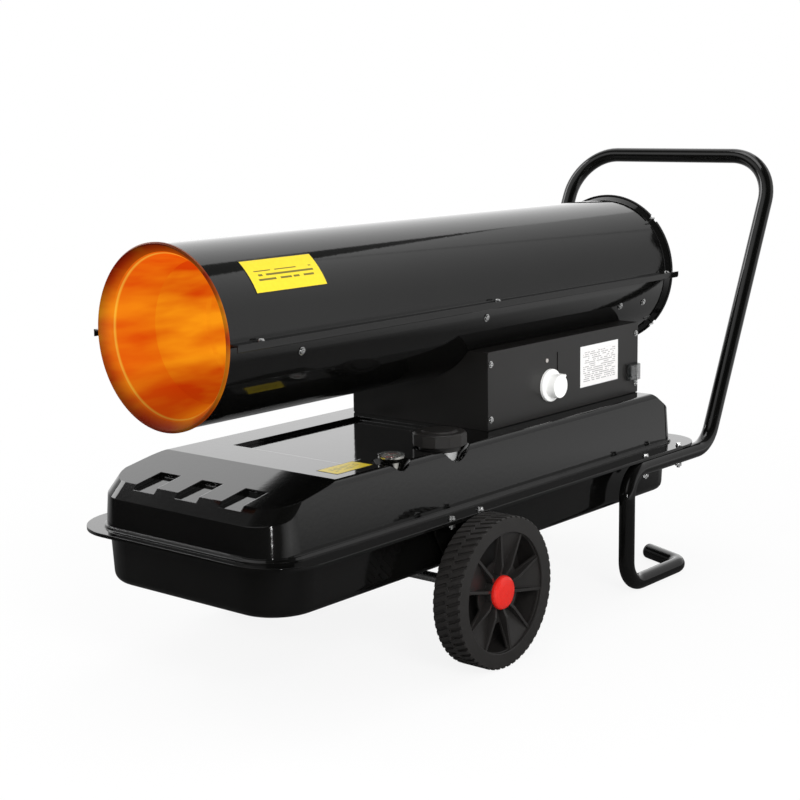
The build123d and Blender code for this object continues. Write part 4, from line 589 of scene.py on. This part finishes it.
def surroundings(scene):
    """White to the camera, an even light, and in reflections a room with light and dark parts."""
    # places are X, Y and Z of a direction of length 1; levels are shares of white
    dark_x, light_x, dark_level = -0.4, 0.5, 0.03
    near_y, far_y, near_level, far_level = -0.6, 0.5, 0.75, 1.5
    window_x, window_full_x, window_level, sill_z, window_full_z = -0.45, -0.7, 0.7, 0.12, 0.3
    panel_slant, panel_start, panel_full = -0.333, -0.123, -0.103
    wedge_slope, wedge_offset, wedge_level = 2.3, -1.7, 0.12
    wall_x, wall_back_x, wall_back_level = 0.72, 0.86, 0.58
    strip_slope, strip_offset, strip_level, strip_core, strip_edge = 1.31, 0.899, 0.55, 0.004, 0.012
    world = bpy.data.worlds.new("white_studio")
    world.use_nodes = True
    tree = world.node_tree
    tree.nodes.clear()
    output = add_node(tree, "ShaderNodeOutputWorld")
    seen = add_node(tree, "ShaderNodeLightPath")
    place = add_node(tree, "ShaderNodeTexCoord")
    parts = add_node(tree, "ShaderNodeSeparateXYZ", None, {"Vector": place.outputs["Generated"]})
    # dark at the end in front of the heater, lighter at the end behind it and to its far side
    room = add_node(tree, "ShaderNodeMapRange", {"interpolation_type": "SMOOTHSTEP",
                                                 "From Min": dark_x, "From Max": light_x,
                                                 "To Min": dark_level, "To Max": 1.0},
                    {"Value": parts.outputs["X"]})
    across = add_node(tree, "ShaderNodeMapRange", {"From Min": near_y, "From Max": far_y,
                                                   "To Min": near_level, "To Max": far_level},
                      {"Value": parts.outputs["Y"]})
    # high windows in the dark end
    window = add_node(tree, "ShaderNodeMapRange", {"From Min": window_x, "From Max": window_full_x,
                                                   "To Min": 0.0, "To Max": window_level},
                      {"Value": parts.outputs["X"]})
    high = add_node(tree, "ShaderNodeMapRange", {"From Min": sill_z, "From Max": window_full_z},
                    {"Value": parts.outputs["Z"]})
    windows = add_node(tree, "ShaderNodeMath", {"operation": "MULTIPLY"},
                       {0: window.outputs["Result"], 1: high.outputs["Result"]})
    ends = add_node(tree, "ShaderNodeMath", {"operation": "MAXIMUM"},
                    {0: room.outputs["Result"], 1: windows.outputs[0]})
    lit = add_node(tree, "ShaderNodeMath", {"operation": "MULTIPLY"},
                   {0: ends.outputs[0], 1: across.outputs["Result"]})
    # dark wedge between the overhead panel and the side wall
    slant = add_node(tree, "ShaderNodeMath", {"operation": "MULTIPLY_ADD", 1: panel_slant},
                     {0: parts.outputs["X"], 2: parts.outputs["Y"]})
    panel_edge = add_node(tree, "ShaderNodeMapRange",
                          {"From Min": panel_start, "From Max": panel_full},
                          {"Value": slant.outputs[0]})
    wedge_low = add_node(tree, "ShaderNodeMath",
                         {"operation": "MULTIPLY_ADD", 1: wedge_slope, 2: wedge_offset},
                         {0: parts.outputs["X"]})
    wall_edge = add_node(tree, "ShaderNodeMath", {"operation": "LESS_THAN"},
                         {0: parts.outputs["Y"], 1: wedge_low.outputs[0]})
    # the side wall grows darker towards the back, with a narrow dark strip along it
    wall_tone = add_node(tree, "ShaderNodeMapRange", {"From Min": wall_x, "From Max": wall_back_x,
                                                      "To Min": 1.0, "To Max": wall_back_level},
                         {"Value": parts.outputs["X"]})
    fall = add_node(tree, "ShaderNodeMath", {"operation": "MULTIPLY_ADD", 1: strip_slope},
                    {0: parts.outputs["X"], 2: parts.outputs["Y"]})
    off = add_node(tree, "ShaderNodeMath", {"operation": "SUBTRACT", 1: strip_offset},
                   {0: fall.outputs[0]})
    apart = add_node(tree, "ShaderNodeMath", {"operation": "ABSOLUTE"}, {0: off.outputs[0]})
    strip = add_node(tree, "ShaderNodeMapRange", {"From Min": strip_core, "From Max": strip_edge,
                                                  "To Min": strip_level, "To Max": 1.0},
                     {"Value": apart.outputs[0]})
    wall = add_node(tree, "ShaderNodeMath", {"operation": "MULTIPLY"},
                    {0: wall_tone.outputs["Result"], 1: strip.outputs["Result"]})
    below = add_node(tree, "ShaderNodeMix", {"data_type": "FLOAT", 2: wedge_level},
                     {0: wall_edge.outputs[0], 3: wall.outputs[0]})
    open_part = add_node(tree, "ShaderNodeMix", {"data_type": "FLOAT", 3: 1.0},
                         {0: panel_edge.outputs["Result"], 2: below.outputs[0]})
    walls = add_node(tree, "ShaderNodeMath", {"operation": "MULTIPLY"},
                     {0: lit.outputs[0], 1: open_part.outputs[0]})
    level = add_node(tree, "ShaderNodeMix", {"data_type": "FLOAT", 2: PLAIN_LIGHT},
                     {0: seen.outputs["Is Glossy Ray"], 3: walls.outputs[0]})
    plain_view = add_node(tree, "ShaderNodeMath", {"operation": "MAXIMUM"},
                          {0: seen.outputs["Is Camera Ray"],
                           1: seen.outputs["Is Transmission Ray"]})
    shown = add_node(tree, "ShaderNodeMix", {"data_type": "FLOAT", 3: WHITE},
                     {0: plain_view.outputs[0], 2: level.outputs[0]})
    light = add_node(tree, "ShaderNodeBackground", {"Color": (1, 1, 1, 1)},
                     {"Strength": shown.outputs[0]})
    tree.links.new(light.outputs[0], output.inputs["Surface"])
    scene.world = world


def softboxes(scene, key_power):
    """Flat lamps, each aimed at the heater."""
    for name, place, aim, width, height, share in SOFTBOXES:
        lamp = bpy.data.lights.new(name, "AREA")
        lamp.shape = "RECTANGLE"
        lamp.size, lamp.size_y = width, height
        lamp.energy = key_power * share
        holder = bpy.data.objects.new(name, lamp)
        scene.collection.objects.link(holder)
        holder.location = place
        holder.rotation_euler = (Vector(aim) - Vector(place)).to_track_quat("-Z", "Y").to_euler()
        # the key lights the heater without a mirror image of its own in the paint
        holder.visible_glossy = name != "key_softbox"


def photograph_camera(scene, lens):
    """Camera at the photograph's station."""
    yaw, pitch, roll = (math.radians(angle) for angle in CAMERA_ANGLES)
    ahead = Vector((math.cos(yaw) * math.cos(pitch), math.sin(yaw) * math.cos(pitch),
                    -math.sin(pitch)))
    right = ahead.cross(Vector((0, 0, 1))).normalized()
    up = right.cross(ahead)
    right, up = (right * math.cos(roll) + up * math.sin(roll),
                 up * math.cos(roll) - right * math.sin(roll))
    camera = bpy.data.objects.new("camera", bpy.data.cameras.new("camera"))
    scene.collection.objects.link(camera)
    camera.data.lens = lens
    camera.data.sensor_width = SENSOR_MM
    camera.data.clip_end = FAR_CLIP
    turn = Matrix((right, up, -ahead)).transposed().to_4x4()
    camera.matrix_world = Matrix.Translation(CAMERA_PLACE) @ turn
    scene.camera = camera


class HEATER_OT_stage(bpy.types.Operator):
    """White floor, surroundings, soft lamps and the camera"""
    bl_idname = "heater.stage"
    bl_label = "Stage"

    def execute(self, context):
        scene = context.scene
        scene.view_settings.view_transform = "Standard"
        white_floor(scene)
        surroundings(scene)
        softboxes(scene, scene.heater_stage.key_power)
        photograph_camera(scene, scene.heater_stage.lens)
        return {"FINISHED"}


STEPS = (HEATER_OT_paint_shell, HEATER_OT_control_box, HEATER_OT_labels, HEATER_OT_running_gear,
         HEATER_OT_fasteners, HEATER_OT_filler_and_gauge, HEATER_OT_hot_end, HEATER_OT_blower,
         HEATER_OT_stage)


class HEATER_PT_panel(bpy.types.Panel):
    """Lists the settings, and the heater's pieces in the order they are finished"""
    bl_label = "Forced Air Heater"
    bl_idname = "HEATER_PT_panel"
    bl_space_type = "VIEW_3D"
    bl_region_type = "UI"
    bl_category = "Heater"

    def draw(self, context):
        for name in COLOUR_SETTINGS:
            self.layout.prop(context.scene.heater_colours, name)
        for name in ("lens", "key_power"):
            self.layout.prop(context.scene.heater_stage, name)
        for step in STEPS:
            self.layout.operator(step.bl_idname)


CLASSES = (HeaterColours, HeaterStage, *STEPS, HEATER_PT_panel)


def register():
    for item in CLASSES:
        bpy.utils.register_class(item)
    bpy.types.Scene.heater_colours = bpy.props.PointerProperty(type=HeaterColours)
    bpy.types.Scene.heater_stage = bpy.props.PointerProperty(type=HeaterStage)


def unregister():
    del bpy.types.Scene.heater_stage
    del bpy.types.Scene.heater_colours
    for item in reversed(CLASSES):
        bpy.utils.unregister_class(item)


def main():
    register()
    for step in STEPS:
        group, action = step.bl_idname.split(".")
        getattr(getattr(bpy.ops, group), action)()


if __name__ == "__main__":
    main()
